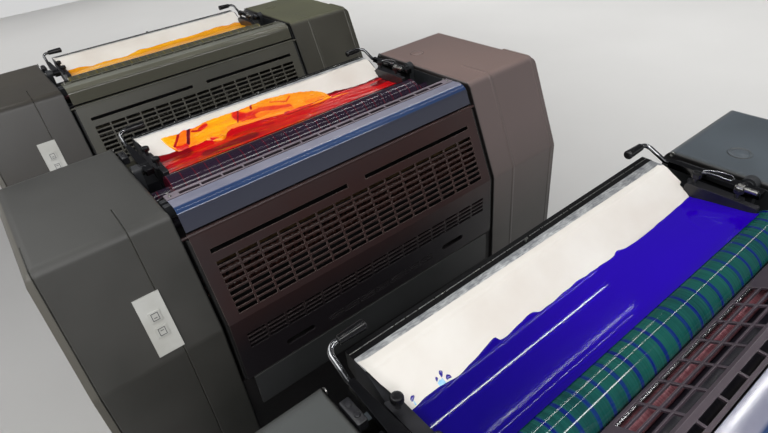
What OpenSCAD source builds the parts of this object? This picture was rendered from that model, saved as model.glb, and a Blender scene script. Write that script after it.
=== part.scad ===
// Row of three sheet-fed offset printing units: side housings, hinged and fixed
// guards, open ink ducts with their rollers, and the low bed that joins the units.
// Each unit is drawn about the front top corner line of its housings (y = 0) and
// the housings' top plane (z = 0), then moved to its place on the bed.

/* [Whole press] */
// Distance from one printing unit to the next
unit_pitch = 1024; // [960:2:1120]
// Height of the housings' top plane above the floor
top_height = 1500; // [1350:5:1700]
// Width between the two housings of a unit
inner_width = 900; // [860:2:960]
// Width of one side housing
cover_width = 290; // [240:2:340]

/* [Side housings] */
// Depth of a housing's top plane
cover_depth = 435; // [400:1:455]
// How far the lower front stands out from the top front edge
front_out = 106; // [90:1:125]
// Depth below the top at which the sloping front ends
front_drop = 277; // [240:1:310]
// Radius of the housings' long top edges
edge_r = 26; // [12:1:34]
// Radius of the housing's top edge beside the ink duct
inner_edge_r = 10; // [6:1:14]
// Radius at the bend of the sloping front
kink_r = 40; // [10:1:60]
// Width of the seams between the housing's panels
seam_w = 2.5; // [1.5:0.5:4]
// Depth of the seams between the housing's panels
seam_deep = 4; // [2:0.5:6]
// Distance from the inner face to the seam of the front door
door_seam = 90; // [70:1:110]
// Width of the outer corner strip
corner_strip = 16; // [10:1:24]

/* [Side frames] */
// Thickness of a side frame plate
frame_t = 22; // [18:1:26]
// How far a frame plate stands proud of its housing
frame_proud = 2; // [1:0.5:4]
// How far a frame's outline lies inside its housing's
frame_inset = 14; // [11:0.5:20]

/* [Front guard] */
// Gap between the front guard and each housing
guard_side_gap = 15; // [12:0.5:20]
// Thickness of guard plates and their edges
sheet_t = 5; // [4:0.5:7]
// Lower edge of the front guard below the top plane
guard_drop = 466; // [440:1:490]
// Depth of the guard's side edges
flange_deep = 24; // [16:1:30]
// Radius of the rolled hinge edge
roll_r = 6; // [5:0.5:8]
// Radius of the hinge pins
pin_r = 4; // [3:0.5:5]

/* [Grilles] */
// Solid margin beside the full-width grilles
grille_margin = 30; // [24:1:36]
// Width of the bars between slots
bar_w = 5; // [4:0.5:7]
// Columns of the full-width grilles
wide_cols = 15; // [9:2:15]
// Columns of the narrow grilles
narrow_cols = 7; // [5:2:9]
// Start of the main grille along the slope
main_start = 80; // [75:1:90]
// Row distance of the main grille
main_pitch = 15.6; // [14:0.1:16]
// Rows of the main grille
main_rows = 9; // [6:1:9]
// Start of the second grille below the bend
second_start = 47; // [40:1:55]
// Row distance of the second grille
second_pitch = 13; // [11:0.5:14]
// Rows of the second grille
second_rows = 4; // [3:1:5]
// Start of the third grille below the bend
third_start = 141; // [130:1:150]
// Row distance of the third grille
third_pitch = 7.5; // [7:0.5:8]
// Rows of the third grille
third_rows = 3; // [2:1:3]
// Width of the third grille's bars
third_bar = 3; // [2:0.5:4]
// Start of the two long slots along the slope
long_slot_start = 50; // [45:1:56]
// Height of the two long slots
long_slot_h = 11; // [8:0.5:14]
// Width of the web between the two long slots
long_slot_web = 56; // [40:1:80]
// Distance of a long slot's outer end from the guard's side
long_slot_in = 31; // [24:1:40]
// Length of a finger slot
finger_w = 86; // [70:1:110]
// Height of a finger slot
finger_h = 17; // [14:0.5:24]
// Distance of a finger slot's middle from the guard's side
finger_in = 164; // [140:1:190]
// Height of a finger slot's middle below the bend
finger_drop = 148; // [140:1:160]

/* [Top guards] */
// Front corner radius of the rounded front cap
cap_r = 30; // [20:1:36]
// Depth of the cap's lower edge below the top plane
cap_drop = 53; // [48:0.5:58]
// Rear edge of the cap
cap_rear = 46; // [40:1:50]
// Gap between neighbouring guards
guard_gap = 3; // [2:0.5:4]
// Place of the top guard's ridge
ridge_y = 76; // [72:0.5:80]
// Rear edge of the top guard
top_guard_rear = 145; // [140:0.5:146]
// Slope of the top guard behind its ridge
top_slope = 30; // [26:0.5:32]
// Rows of the sloping top grille
top_rows = 4; // [3:1:4]
// Bar width in the top grilles
top_bar = 4; // [3:0.5:5]
// Thickness of the top guard plate
top_t = 4; // [3:0.5:5]
// Depth of the rib under the top guard's ridge
rib_h = 14; // [10:0.5:18]
// Width of the ledges that carry the fixed guards
ledge_w = 14; // [10:0.5:16]
// Depth of the ledges that carry the fixed guards
ledge_h = 26; // [22:1:32]

/* [Lower front] */
// Height of the kick plate under the front guard
kick_h = 103; // [80:1:130]
// How far the kick plate ends inside the guard's side
kick_inset = 17; // [5:1:30]
// Thickness of the kick plate
kick_t = 8; // [5:0.5:10]

/* [Ink duct] */
// Radius of the duct roller
duct_r = 40; // [34:0.5:42]
// How far the rollers' bodies reach past the ink duct
roller_over = 18; // [15:0.5:22]
// Place of the duct roller's axis behind the front edge
duct_y = 187; // [185:0.5:190]
// Depth of the duct roller's axis below the top plane
duct_z = -57; // [-60:0.5:-55]
// Radius of the duct roller's journals
duct_journal_r = 13; // [10:0.5:16]
// Gap between the duct roller and the blade
blade_gap = 1; // [0.6:0.1:2]
// Distance from the housing to the inside of a duct end plate
trough_inset = 74; // [72:0.5:90]
// Rear edge of the duct's bed
duct_rear = 430; // [420:1:440]
// Place of the crease where the bed turns flat
crease_y = 397; // [390:1:404]
// Slope of the duct's bed
bed_slope = 33; // [30:0.5:35]
// Place where the bed flattens towards the roller
toe_y = 285; // [278:1:292]
// Radius of the bed's bend at the toe
toe_r = 30; // [10:1:40]
// Angle below level at which the blade meets the duct roller
lip_angle = 35; // [30:1:40]
// Thickness of the liner sheet on the bed
liner_t = 1.5; // [1:0.1:2.5]
// Depth of the rear bar
rear_bar = 22; // [16:1:26]
// Thickness of a duct end plate
cheek_t = 14; // [10:0.5:15]
// Front end of a duct end plate
cheek_front = 214; // [208:1:220]
// Rear end of a duct end plate
cheek_rear = 349; // [330:1:360]
// Depth of an end plate's top below the top plane
cheek_top = 14; // [10:0.5:20]
// Width of the flange on top of an end plate
flange_w = 22; // [18:0.5:24]
// Front end of the end plate's flange
flange_front = 244; // [240:1:250]
// Thickness of the end plate's flange
flange_t = 5; // [3:0.5:6]
// Radius of a thumb knob's head
knob_r = 9; // [7:0.5:10]
// Height of a thumb knob above the flange
knob_h = 24; // [18:0.5:28]
// Distance from the end plate's rear end to the first thumb knob
knob_in = 14; // [12:0.5:18]
// Distance between the two thumb knobs
knob_pitch = 80; // [70:1:82]

/* [Inner rollers] */
// Radius of the thin transfer roller
transfer_r = 13; // [11:0.5:14]
// Place of the transfer roller's axis
transfer_y = 127; // [124:0.5:128]
// Depth of the transfer roller's axis
transfer_z = -64; // [-70:0.5:-62]
// Radius of the ink roller under the top guard
ink_r = 28; // [24:0.5:30]
// Place of the ink roller's axis
ink_y = 97; // [94:0.5:100]
// Radius of the transfer roller's journals
transfer_journal_r = 8; // [6:0.5:9]
// Radius of the ink roller's journals
ink_journal_r = 12; // [10:0.5:14]

/* [Duct levers] */
// Place of the levers' pivot behind the front edge
lever_y = 256; // [250:1:262]
// Gap between the end plate's flange and the lever
lever_gap = 7; // [6:0.5:8]
// Width of a lever's arm at its pivot
lever_w = 21; // [18:0.5:22]
// Width of a lever's arm at its rear end
lever_tip = 12; // [11:0.5:16]
// Height of a lever's arm
lever_h = 14; // [12:0.5:16]
// Front end of a lever's arm
lever_front = 223; // [218:1:230]
// Place where the arm starts to narrow
lever_waist = 300; // [285:1:320]
// Rear end of a lever's arm
lever_rear = 405; // [390:1:410]
// Angle at which the lever's rod rises
rod_rise = 27; // [20:1:35]
// Length of the rod's rising stretch
rod_run = 35; // [25:1:45]
// Radius of the rod's bend towards the grip
rod_bend = 16; // [12:0.5:20]
// Radius of the lever's rod
rod_r = 5; // [4:0.5:6]
// Radius of the hand grip at its outer end
grip_r = 10; // [8:0.5:12]
// Radius of the hand grip at the rod
grip_neck = 8; // [6.5:0.5:9]
// Length of the hand grip
grip_len = 50; // [40:1:65]
// Radius of the lever's pivot pin
pivot_r = 6; // [5:0.5:7]
// Radius of the block that carries the lever's stud
stud_block_r = 15; // [12:0.5:18]

/* [Operator panel] */
// Distance from the housing's inner face to the button panel
panel_x = 86; // [70:1:100]
// Place of the panel's upper edge along the slope
panel_start = 141; // [120:1:160]
// Width of the button panel
panel_w = 56; // [46:1:66]
// Length of the button panel along the slope
panel_len = 138; // [120:1:150]
// Height of the panel above the housing
panel_t = 5; // [3:0.5:8]
// Size of a square button
button_w = 24; // [18:1:28]
// Place of the first button on the panel
button_start = 38; // [30:1:46]
// Distance from one button to the next
button_pitch = 36; // [32:1:44]

/* [Bed] */
// Height of the footboards above the floor
board_height = 450; // [350:5:550]
// Thickness of a footboard
board_t = 12; // [8:1:20]
// Half width of the bed between the units
bed_half = 700; // [640:5:735]
// Height of the toe recess along the floor
toe_h = 80; // [50:5:120]
// Depth of the toe recess along the floor
toe_in = 40; // [20:5:60]

/* [Hidden] */
$fn = 64;
names = ["blue", "red", "yellow"];

half_in = inner_width / 2;
half_out = half_in + cover_width;
// The press stands with the middle of its length on the origin
rear_reach = max(cover_depth, duct_rear + rear_bar);
mid_y = (rear_reach - front_out) / 2;
run_fit = 0.05;
bend_fit = 0.1;
seat_gap = 0.3;
// How far a rolled edge stands proud of what it joins
bead = 0.6;
part_gap = 5;
guard_w = inner_width - 2 * guard_side_gap;
col_pitch = (guard_w - 2 * grille_margin) / wide_cols;
trough_w = inner_width - 2 * trough_inset;
duct_len = trough_w + 2 * roller_over;
kick_w = guard_w - 2 * kick_inset;
lever_x = trough_w / 2 + flange_w + lever_gap;
frame_face = half_in - frame_proud;
frame_back = frame_face + frame_t;
// Slope of the front: unit vectors along it (down) and out of it
front_len = sqrt(front_out * front_out + front_drop * front_drop);
along = [-front_out / front_len, -front_drop / front_len];
out = [along[1], -along[0]];
slope_angle = atan(front_out / front_drop);
// The hinged guard lies a little behind the housings' front corner line
guard_top = -cap_drop - guard_gap - 2;
guard_y0 = along[0] / along[1] * guard_top;
guard_slope_len = (front_drop + guard_top) / -along[1];
guard_x = guard_w / 2;
// Hinge axis at the middle of the guard's rolled top edge
hinge = [guard_y0, guard_top] + along * roll_r - out * roll_r;
// Trough line of the ink duct
toe_z = -(crease_y - toe_y) * tan(bed_slope) - 3;
lip = [duct_y, duct_z] + (duct_r + blade_gap) * [cos(lip_angle), -sin(lip_angle)];
bed_line = rounded_line([[lip[0], lip[1], 0], [toe_y, toe_z, toe_r], [crease_y, -3, 0],
  [duct_rear, -liner_t, 0]]);
// The ink roller lies below and in front of the transfer roller, with a film's gap
ink_z = transfer_z - sqrt(pow(transfer_r + ink_r + seat_gap, 2) - pow(transfer_y - ink_y, 2));
lever_z = -lever_h / 2;
bed_front = -unit_pitch - mid_y - front_out;
bed_rear = unit_pitch - mid_y + cover_depth;

// Point list helpers: round a corner with an arc, and give a line a thickness
function unit_v(v) = v / norm(v);
function arc_at(a, b, c, r, n = 8) =
  let (u = unit_v(a - b), w = unit_v(c - b), half = acos(u * w) / 2,
       m = b + unit_v(u + w) * r / sin(half),
       p = b + u * r / tan(half) - m, q = b + w * r / tan(half) - m,
       turn = cross(p, q) > 0 ? 180 - 2 * half : 2 * half - 180)
  [for (i = [0:n]) m + [p[0] * cos(turn * i / n) - p[1] * sin(turn * i / n),
                        p[0] * sin(turn * i / n) + p[1] * cos(turn * i / n)]];
// points: [y, z, radius] each; a radius of 0 keeps the corner sharp
function rounded(pts) = [for (i = [0:len(pts) - 1])
  let (n = len(pts), a = pts[(i + n - 1) % n], b = pts[i], c = pts[(i + 1) % n])
  for (q = b[2] > 0 ? arc_at([a[0], a[1]], [b[0], b[1]], [c[0], c[1]], b[2]) : [[b[0], b[1]]]) q];
function rounded_line(pts) = [for (i = [0:len(pts) - 1])
  let (b = pts[i], ends = i == 0 || i == len(pts) - 1)
  for (q = !ends && b[2] > 0 ? arc_at([pts[i - 1][0], pts[i - 1][1]], [b[0], b[1]],
    [pts[i + 1][0], pts[i + 1][1]], b[2]) : [[b[0], b[1]]]) q];
function side_of(a, b) = let (d = unit_v(b - a)) [-d[1], d[0]];
function offset_line(pts, t) = [for (i = [0:len(pts) - 1])
  let (m = len(pts) - 1, n1 = i == 0 ? side_of(pts[0], pts[1]) : side_of(pts[i - 1], pts[i]),
       n2 = i == m ? n1 : side_of(pts[i], pts[i + 1]))
  pts[i] + t * (n1 + n2) / (1 + n1 * n2)];
function reversed(pts) = [for (i = [len(pts) - 1:-1:0]) pts[i]];
function strip(pts, t) = concat(pts, reversed(offset_line(pts, t)));

// Draws a [y, z] outline from x0 to x1
module across(x0, x1) {
  translate([min(x0, x1), 0, 0]) rotate([90, 0, 90]) linear_extrude(abs(x1 - x0)) children();
}
module at_unit(name) {
  i = search([name], names)[0];
  translate([0, (i - 1) * unit_pitch - mid_y, top_height]) children();
}
module at_units() { for (n = names) at_unit(n) children(); }
module both_sides() { for (s = [0, 1]) mirror([s, 0, 0]) children(); }

// Plate with a rectangle of slots: corner lists for one outline and its holes.
// windows: [x0, y0, x1, y1] each, in the plate's own plane
function box_points(w) = [[w[0], w[1]], [w[2], w[1]], [w[2], w[3]], [w[0], w[3]]];
function slots(cols, rows, pitch_y, start_y, bar_x, bar_y) =
  [for (c = [0:cols - 1]) for (r = [0:rows - 1])
    let (x = (c - cols / 2) * col_pitch, y = start_y + r * pitch_y)
    [x + bar_x / 2, y + bar_y / 2, x + col_pitch - bar_x / 2, y + pitch_y - bar_y / 2]];
module slotted(w, h, windows) {
  all = concat([[-w / 2, 0, w / 2, h]], windows);
  polygon(points = [for (b = all) for (q = box_points(b)) q],
    paths = [for (i = [0:len(all) - 1]) [for (k = [0:3]) 4 * i + k]]);
}

// Outline of a side housing, grown inwards by the inset
module cover_outline(inset, r_top, bottom) {
  f = inset * tan((90 - slope_angle) / 2);
  polygon(rounded([[f, -inset, r_top], [-front_out + inset, -front_drop - f / 2, kink_r],
    [-front_out + inset, bottom, 0], [cover_depth - inset, bottom, 0],
    [cover_depth - inset, -inset, r_top]]));
}
module cover_seams() {
  // door seam and corner strip run down the whole front
  for (x = [half_in + door_seam, half_out - corner_strip])
    across(x - seam_w / 2, x + seam_w / 2)
      polygon(strip(rounded_line([[cover_depth * 0.25, 1, 0], [0, 1, edge_r],
        [-front_out - 1, -front_drop, kink_r], [-front_out - 1, -top_height + toe_h, 0]]),
        seam_deep + 1));
}
module cover(name) {
  at_unit(name) difference() {
    intersection() {
      across(half_in, half_out) cover_outline(0, edge_r, -top_height);
      // long top edges, rounded across the width
      translate([0, cover_depth + 1, 0]) rotate([90, 0, 0])
        linear_extrude(cover_depth + front_out + 2) polygon(rounded([
          [half_in, 0, inner_edge_r], [half_out, 0, edge_r],
          [half_out, -top_height, 0], [half_in, -top_height, 0]]));
    }
    across(half_in - 1, frame_back) cover_outline(frame_inset, edge_r, -top_height - 1);
    cover_seams();
    // the guard's hinge pin turns in the housing's rim
    bearing(hinge[0], hinge[1], pin_r);
  }
}
module operator_cover(name) { color("#3d403c") mirror([1, 0, 0]) cover(name); }
module drive_cover(name) { color("#3d403c") cover(name); }

// Frame plates with the rollers' bearings, the hinge holes and the lever studs
module side_frames(name) {
  color("#2b2e30") at_unit(name) both_sides() {
    difference() {
      union() {
        across(frame_face, frame_back) cover_outline(frame_inset, edge_r, -top_height);
        // block that carries the lever's stud
        across(lever_x + lever_w + part_gap, frame_face + 1) {
          translate([lever_y, lever_z]) circle(r = stud_block_r);
          translate([lever_y - stud_block_r, lever_z - 52]) square([2 * stud_block_r, 52]);
        }
      }
      bearing(duct_y, duct_z, duct_journal_r);
      bearing(transfer_y, transfer_z, transfer_journal_r);
      bearing(ink_y, ink_z, ink_journal_r);
    }
    translate([0, lever_y, lever_z]) rotate([0, 90, 0]) {
      translate([0, 0, lever_x - 3]) cylinder(r = pivot_r, h = frame_face - lever_x);
      translate([0, 0, lever_x + lever_w + seat_gap])
        cylinder(r = pivot_r + 4, h = frame_face - lever_x - lever_w);
    }
    // ledges under the fixed guards
    for (y = [cap_rear - ledge_w - 2, cap_rear + guard_gap + 4])
      across(guard_x - ledge_w, frame_face + 1)
        translate([y, -top_t - ledge_h]) square([ledge_w, ledge_h]);
  }
}
module bearing(y, z, r) {
  translate([frame_face - 1, y, z]) rotate([0, 90, 0]) cylinder(r = r + run_fit, h = frame_t + 2);
}

// Rounded cap along the front top edge
module front_cap(name) {
  color("#43506b") at_unit(name) across(-guard_x, guard_x)
    polygon(strip(reversed(rounded_line([[cap_rear, 0, 0], [0, 0, cap_r],
      [along[0] / along[1] * -cap_drop, -cap_drop, 0]])), -top_t));
}

// Top guard: a flat front with one row of slots and a sloping rear with the rest
module top_guard(name) {
  rear_len = (top_guard_rear - ridge_y) / cos(top_slope);
  flat0 = cap_rear + guard_gap;
  row = (rear_len - 2 * top_bar) / top_rows;
  color("#5b5260") at_unit(name) {
    translate([0, flat0, -top_t]) linear_extrude(top_t)
      slotted(guard_w, ridge_y - flat0, slots(wide_cols, 1, 14, 5, top_bar, 2));
    translate([0, ridge_y, 0]) rotate([-top_slope, 0, 0]) translate([0, -0.5, -top_t])
      linear_extrude(top_t) slotted(guard_w, rear_len,
        slots(narrow_cols, top_rows, row, top_bar, top_bar, top_bar * 0.8));
    // strengthening rib under the ridge
    translate([-guard_x, ridge_y - top_t + 1, -rib_h]) cube([guard_w, top_t, rib_h - top_t + 1]);
  }
}

// Hinged front guard: sloping and upright plates, side edges, rolled top edge
module guard_plates() {
  upper_windows = concat(
    [for (s = [-1, 1]) let (a = s * long_slot_web / 2, b = s * (guard_x - long_slot_in))
     [min(a, b), long_slot_start, max(a, b), long_slot_start + long_slot_h]],
    slots(wide_cols, main_rows, main_pitch, main_start, bar_w, bar_w));
  lower_windows = concat(
    slots(wide_cols, second_rows, second_pitch, second_start, bar_w, bar_w * 0.8),
    slots(narrow_cols, third_rows, third_pitch, third_start, bar_w, third_bar));
  // sloping plate, drawn down from its top edge
  translate([0, guard_y0, guard_top]) rotate([-90 - slope_angle, 0, 0]) translate([0, roll_r, 0])
    linear_extrude(sheet_t) slotted(guard_w, guard_slope_len - roll_r,
      [for (w = upper_windows) w - [0, roll_r, 0, roll_r]]);
  difference() {
    translate([0, -front_out, -front_drop]) rotate([-90, 0, 0])
      linear_extrude(sheet_t) slotted(guard_w, guard_drop - front_drop, lower_windows);
    both_sides() translate([guard_x - finger_in, -front_out - 1, -front_drop - finger_drop])
      finger_slot();
  }
}
module finger_slot() {
  half_run = (finger_w - finger_h) / 2;
  rotate([-90, 0, 0]) {
    for (s = [-1, 1]) translate([s * half_run, 0, 0]) cylinder(r = finger_h / 2, h = sheet_t + 2);
    translate([-half_run, -finger_h / 2, 0]) cube([2 * half_run, finger_h, sheet_t + 2]);
  }
}
module front_guard(name) {
  color("#2c2226") at_unit(name) {
    guard_plates();
    both_sides() {
      across(guard_x - sheet_t, guard_x) polygon(strip([[guard_y0, guard_top] + along * roll_r,
        [-front_out, -front_drop], [-front_out, -guard_drop]], flange_deep));
      translate([guard_x - 1, hinge[0], hinge[1]]) rotate([0, 90, 0])
        cylinder(r = pin_r, h = frame_back - guard_x - seat_gap);
    }
    across(-guard_x, guard_x) {
      translate(hinge) circle(r = roll_r + bead);
      translate([-front_out, -guard_drop]) square([flange_deep * 0.6, sheet_t]);
    }
  }
}

// Kick plate with a folded top lip, on the lower front of the machine body
module kick_plates() {
  color("#3a3f3d") at_units() {
    z = -guard_drop - part_gap - 1;
    across(-kick_w / 2, kick_w / 2) polygon([[-front_out, z], [-front_out, z - kick_h],
      [-front_out + kick_t, z - kick_h], [-front_out + kick_t, z]]);
  }
}

// Rollers: a body between the frames on two journals
module roller(name, y, z, r, len, journal) {
  at_unit(name) translate([0, y, z]) rotate([0, 90, 0]) {
    translate([0, 0, -len / 2]) cylinder(r = r, h = len);
    translate([0, 0, -frame_back + seat_gap]) cylinder(r = journal, h = 2 * (frame_back - seat_gap));
  }
}
module duct_roller(name) { color("#3c6b66") roller(name, duct_y, duct_z, duct_r, duct_len, duct_journal_r); }
module transfer_roller(name) {
  color("#a4646c") roller(name, transfer_y, transfer_z, transfer_r, duct_len, transfer_journal_r);
}
module ink_roller(name) {
  color("#26262a") roller(name, ink_y, ink_z, ink_r, duct_len, ink_journal_r);
}

// Bed of the ink duct: the sloping trough, its rear bar and the ears on the frames
module duct_bed(name) {
  bed_x = trough_w / 2 + cheek_t;
  color("#2f3234") at_unit(name) {
    difference() {
      across(-bed_x, bed_x) polygon(concat(bed_line,
        [[duct_rear, 0], [duct_rear + rear_bar, 0], [duct_rear + rear_bar, -34],
         [crease_y, -72], [toe_y + 8, toe_z - 34], [lip[0] + 26, lip[1] - 34],
         [lip[0] + 1, lip[1] - 5]]));
      translate([-half_in, duct_y, duct_z]) rotate([0, 90, 0])
        cylinder(r = duct_r + blade_gap, h = inner_width);
    }
    both_sides() across(bed_x - 1, frame_face)
      translate([toe_y + 12, toe_z - 30]) square([60, 32]);
  }
}
// Liner sheet on the bed
module duct_liners() {
  color("#ece9e2") at_units()
    across(-trough_w / 2, trough_w / 2) polygon(strip(bed_line, liner_t));
}
// End plates that close the ink duct: a cheek, its flange and two thumb knobs
module duct_end_plates() {
  cheek_x = trough_w / 2;
  color("#1c1d1f") at_units() both_sides() {
    difference() {
      across(cheek_x, cheek_x + cheek_t) difference() {
        polygon(rounded([[cheek_front, -cheek_top - 2, 3], [flange_front, -cheek_top - 1, 0],
          [cheek_rear, -cheek_top - 1, 6], [cheek_rear, -60, 0], [cheek_front, -110, 0]]));
        polygon(concat([[duct_y, lip[1]]], bed_line, [[crease_y, -140], [duct_y, -140]]));
      }
      translate([0, duct_y, duct_z]) rotate([0, 90, 0])
        cylinder(r = duct_r + blade_gap, h = half_in);
    }
    translate([0, 0, -cheek_top - flange_t]) linear_extrude(flange_t) polygon(rounded([
      [cheek_x, flange_front, 3], [cheek_x + flange_w, flange_front, 3],
      [cheek_x + flange_w, cheek_rear + 6, 3], [cheek_x, cheek_rear - 6, 3]]));
    for (k = [0, 1])
      translate([cheek_x + flange_w / 2, cheek_rear - knob_in - k * knob_pitch, -cheek_top - 1])
        thumb_knob();
  }
}
module thumb_knob() {
  rotate_extrude() polygon([[0, 0], [knob_r / 2, 0], [knob_r / 2, knob_h / 2],
    [knob_r - 1.5, knob_h / 2 + 1], [knob_r, knob_h / 2 + 3], [knob_r, knob_h - 1],
    [knob_r - 2, knob_h + 1], [0, knob_h + 1]]);
}

// Rod bent as on a bending bench: steps of [length, bend angle, roll of the bend's plane].
// The straights are a little thinner than the bends and reach into them.
module bent_rod(steps, r, bend_r, i = 0) {
  lap = i > 0 ? 1 : 0;
  translate([0, 0, -lap]) cylinder(r = r - bend_fit, h = steps[i][0] + lap + 1);
  if (i < len(steps) - 1) translate([0, 0, steps[i][0]]) rotate([0, 0, steps[i][2]]) {
    translate([-bend_r, 0, 0]) rotate([90, 0, 0]) rotate_extrude(angle = steps[i][1])
      translate([bend_r, 0]) circle(r = r);
    translate([-bend_r, 0, 0]) rotate([0, -steps[i][1], 0]) translate([bend_r, 0, 0])
      bent_rod(steps, r, bend_r, i + 1) children();
  } else translate([0, 0, steps[i][0]]) children();
}

// Duct lever: tapered arm on its stud, bent rod and inward hand grip
module lever(name) {
  tip_x = lever_x + (lever_w - lever_tip) / 3;
  rod_x = tip_x + lever_tip / 2;
  at_unit(name) {
    difference() {
      union() {
        translate([0, 0, -lever_h]) linear_extrude(lever_h) polygon(rounded([
          [lever_x, lever_front, 3], [lever_x + lever_w, lever_front, 3],
          [lever_x + lever_w, lever_waist, 12], [tip_x + lever_tip, lever_rear, 3],
          [tip_x, lever_rear, 3], [lever_x, lever_waist, 12]]));
        across(lever_x, lever_x + lever_w)
          translate([lever_y, lever_z]) circle(r = lever_h / 2 + 4);
      }
      translate([lever_x - 1, lever_y, lever_z]) rotate([0, 90, 0])
        cylinder(r = pivot_r + run_fit, h = lever_w + 2);
    }
    translate([rod_x, lever_rear - 5, lever_z]) rotate([-90, 0, 0])
      bent_rod([[9, rod_rise, 90], [rod_run, 90, -90], [4, 0, 0]], rod_r, rod_bend)
        rotate_extrude() polygon(rounded([[0, 0, 0], [grip_neck, 0, 1.5],
          [grip_r, grip_len, 5], [0, grip_len, 0]]));
  }
}
module operator_lever(name) { color("#8b8f92") mirror([1, 0, 0]) lever(name); }
module drive_lever(name) { color("#8b8f92") lever(name); }

// Panel with two square push buttons on the operator's side of each unit
module button_panels() {
  color("#e6e6e2") at_units() mirror([1, 0, 0])
    translate([half_in + panel_x, along[0] * panel_start, along[1] * panel_start])
      rotate([-90 - slope_angle, 0, 0]) {
        translate([0, 0, -panel_t]) cube([panel_w, panel_len, panel_t]);
        for (k = [0, 1])
          translate([(panel_w - button_w) / 2, button_start + k * button_pitch, -panel_t - 3])
            cube([button_w, button_w, 4]);
      }
}

// Closed body between a unit's frames, under the rollers
module unit_cores() {
  core_top = -190;
  low_front = -front_out + kick_t;
  z_low = -top_height + board_height - board_t;
  color("#1b1c1e") at_units() across(-frame_face, frame_face) polygon([
    [-20, core_top], [-20, -guard_drop - part_gap - 1], [low_front, -guard_drop - part_gap - 1],
    [low_front, z_low], [cover_depth - 25, z_low], [cover_depth - 25, core_top]]);
}
module rear_panels() {
  color("#3d403c") at_units() across(-frame_face, frame_face)
    translate([cover_depth - 25, -top_height + board_height - board_t])
      square([15, top_height - board_height + board_t - 120]);
}

// Low bed that carries the units
module bed() {
  color("#33373a") {
    translate([-frame_face, bed_front + kick_t, 0])
      cube([2 * frame_face, bed_rear - bed_front - kick_t - 10, board_height - board_t]);
    for (k = [0, 1]) difference() {
      y0 = (k - 1) * unit_pitch - mid_y + cover_depth;
      y1 = k * unit_pitch - mid_y - front_out;
      translate([-bed_half, y0, 0]) cube([2 * bed_half, y1 - y0, board_height - board_t]);
      both_sides() translate([bed_half - toe_in, y0 - 1, -1]) cube([toe_in + 1, y1 - y0 + 2, toe_h + 1]);
    }
  }
}
module footboards() {
  color("#6c6f70") for (k = [0, 1]) {
    y0 = (k - 1) * unit_pitch - mid_y + cover_depth;
    y1 = k * unit_pitch - mid_y - front_out;
    translate([-bed_half, y0, board_height - board_t]) cube([2 * bed_half, y1 - y0, board_t]);
  }
}

bed();
footboards();
unit_cores();
rear_panels();
kick_plates();
button_panels();
duct_liners();
duct_end_plates();
for (n = names) {
  operator_cover(n);
  drive_cover(n);
  side_frames(n);
  front_cap(n);
  top_guard(n);
  duct_bed(n);
  front_guard(n);
  duct_roller(n);
  transfer_roller(n);
  ink_roller(n);
  operator_lever(n);
  drive_lever(n);
}
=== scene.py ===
from math import cos, pi, radians, sin, sqrt, tan

import bmesh
import bpy
from mathutils import Matrix, Vector, noise


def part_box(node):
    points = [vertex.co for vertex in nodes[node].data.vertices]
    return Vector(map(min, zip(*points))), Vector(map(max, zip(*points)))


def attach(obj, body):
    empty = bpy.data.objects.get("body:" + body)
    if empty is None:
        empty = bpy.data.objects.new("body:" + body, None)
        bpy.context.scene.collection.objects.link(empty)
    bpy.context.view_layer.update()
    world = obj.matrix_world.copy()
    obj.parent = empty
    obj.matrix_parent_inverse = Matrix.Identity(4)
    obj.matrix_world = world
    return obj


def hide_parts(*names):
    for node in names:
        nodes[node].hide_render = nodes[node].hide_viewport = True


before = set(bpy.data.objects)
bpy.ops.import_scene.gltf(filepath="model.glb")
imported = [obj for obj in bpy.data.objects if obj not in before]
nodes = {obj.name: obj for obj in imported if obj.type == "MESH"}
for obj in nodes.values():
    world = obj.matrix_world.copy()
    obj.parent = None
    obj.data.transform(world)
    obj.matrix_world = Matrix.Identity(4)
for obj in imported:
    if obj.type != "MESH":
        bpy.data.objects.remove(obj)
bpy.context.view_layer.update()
mm = 0.001
units = ["blue", "red", "yellow"]

# Sizes in millimetres that the pieces share with the source; y and z are counted in each
# unit from the front top corner line of its housings
press = {
    "coverDepth": 435, "guardHalf": 435, "frontOut": 106, "frontDrop": 277, "guardLow": 466,
    "rollerY": 187, "rollerZ": -57, "rollerR": 40,
    "creaseY": 397, "creaseZ": -3, "toeY": 285, "toeBlend": 4.0, "bedSlope": 33,
    "bedRear": 430, "rearRise": 1.5, "lip": (220.6, -80.5),
    "zonePitch": 32.5,
}
origin = {}
for unit in units:
    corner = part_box(unit + "_drive_cover")[1]
    origin[unit] = Vector((0, corner.y - press["coverDepth"] * mm, corner.z))

# The camera stands where the photograph was taken, beside the blue unit
view = {
    "place": (-0.63733, -0.04412, 0.61960),
    "right": (0.77990826, -0.61908106, -0.09209641),
    "up": (0.41827553, 0.40606679, 0.81249944),
    "back": (-0.46560572, -0.6721967, 0.57564131),
    "lens": 25.66,
}
cameraData = bpy.data.cameras.new("camera")
cameraData.lens = view["lens"]
cameraData.sensor_width = 36
cameraData.clip_start = 0.05
camera = bpy.data.objects.new("camera", cameraData)
bpy.context.scene.collection.objects.link(camera)
axes = Matrix((view["right"], view["up"], view["back"])).transposed()
camera.matrix_world = Matrix.Translation(origin["blue"] + Vector(view["place"])) @ axes.to_4x4()
bpy.context.scene.camera = camera
print("camera stands")


# mesh helpers: every shape is drawn in millimetres, then moved to its unit
def addRings(bm, rings, caps=True):
    rows = [[bm.verts.new(point) for point in ring] for ring in rings]
    count = len(rows[0])
    for a, b in zip(rows, rows[1:]):
        for i in range(count):
            j = (i + 1) % count
            bm.faces.new((a[i], a[j], b[j], b[i]))
    if caps:
        bm.faces.new(rows[0][::-1])
        bm.faces.new(rows[-1])


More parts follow.
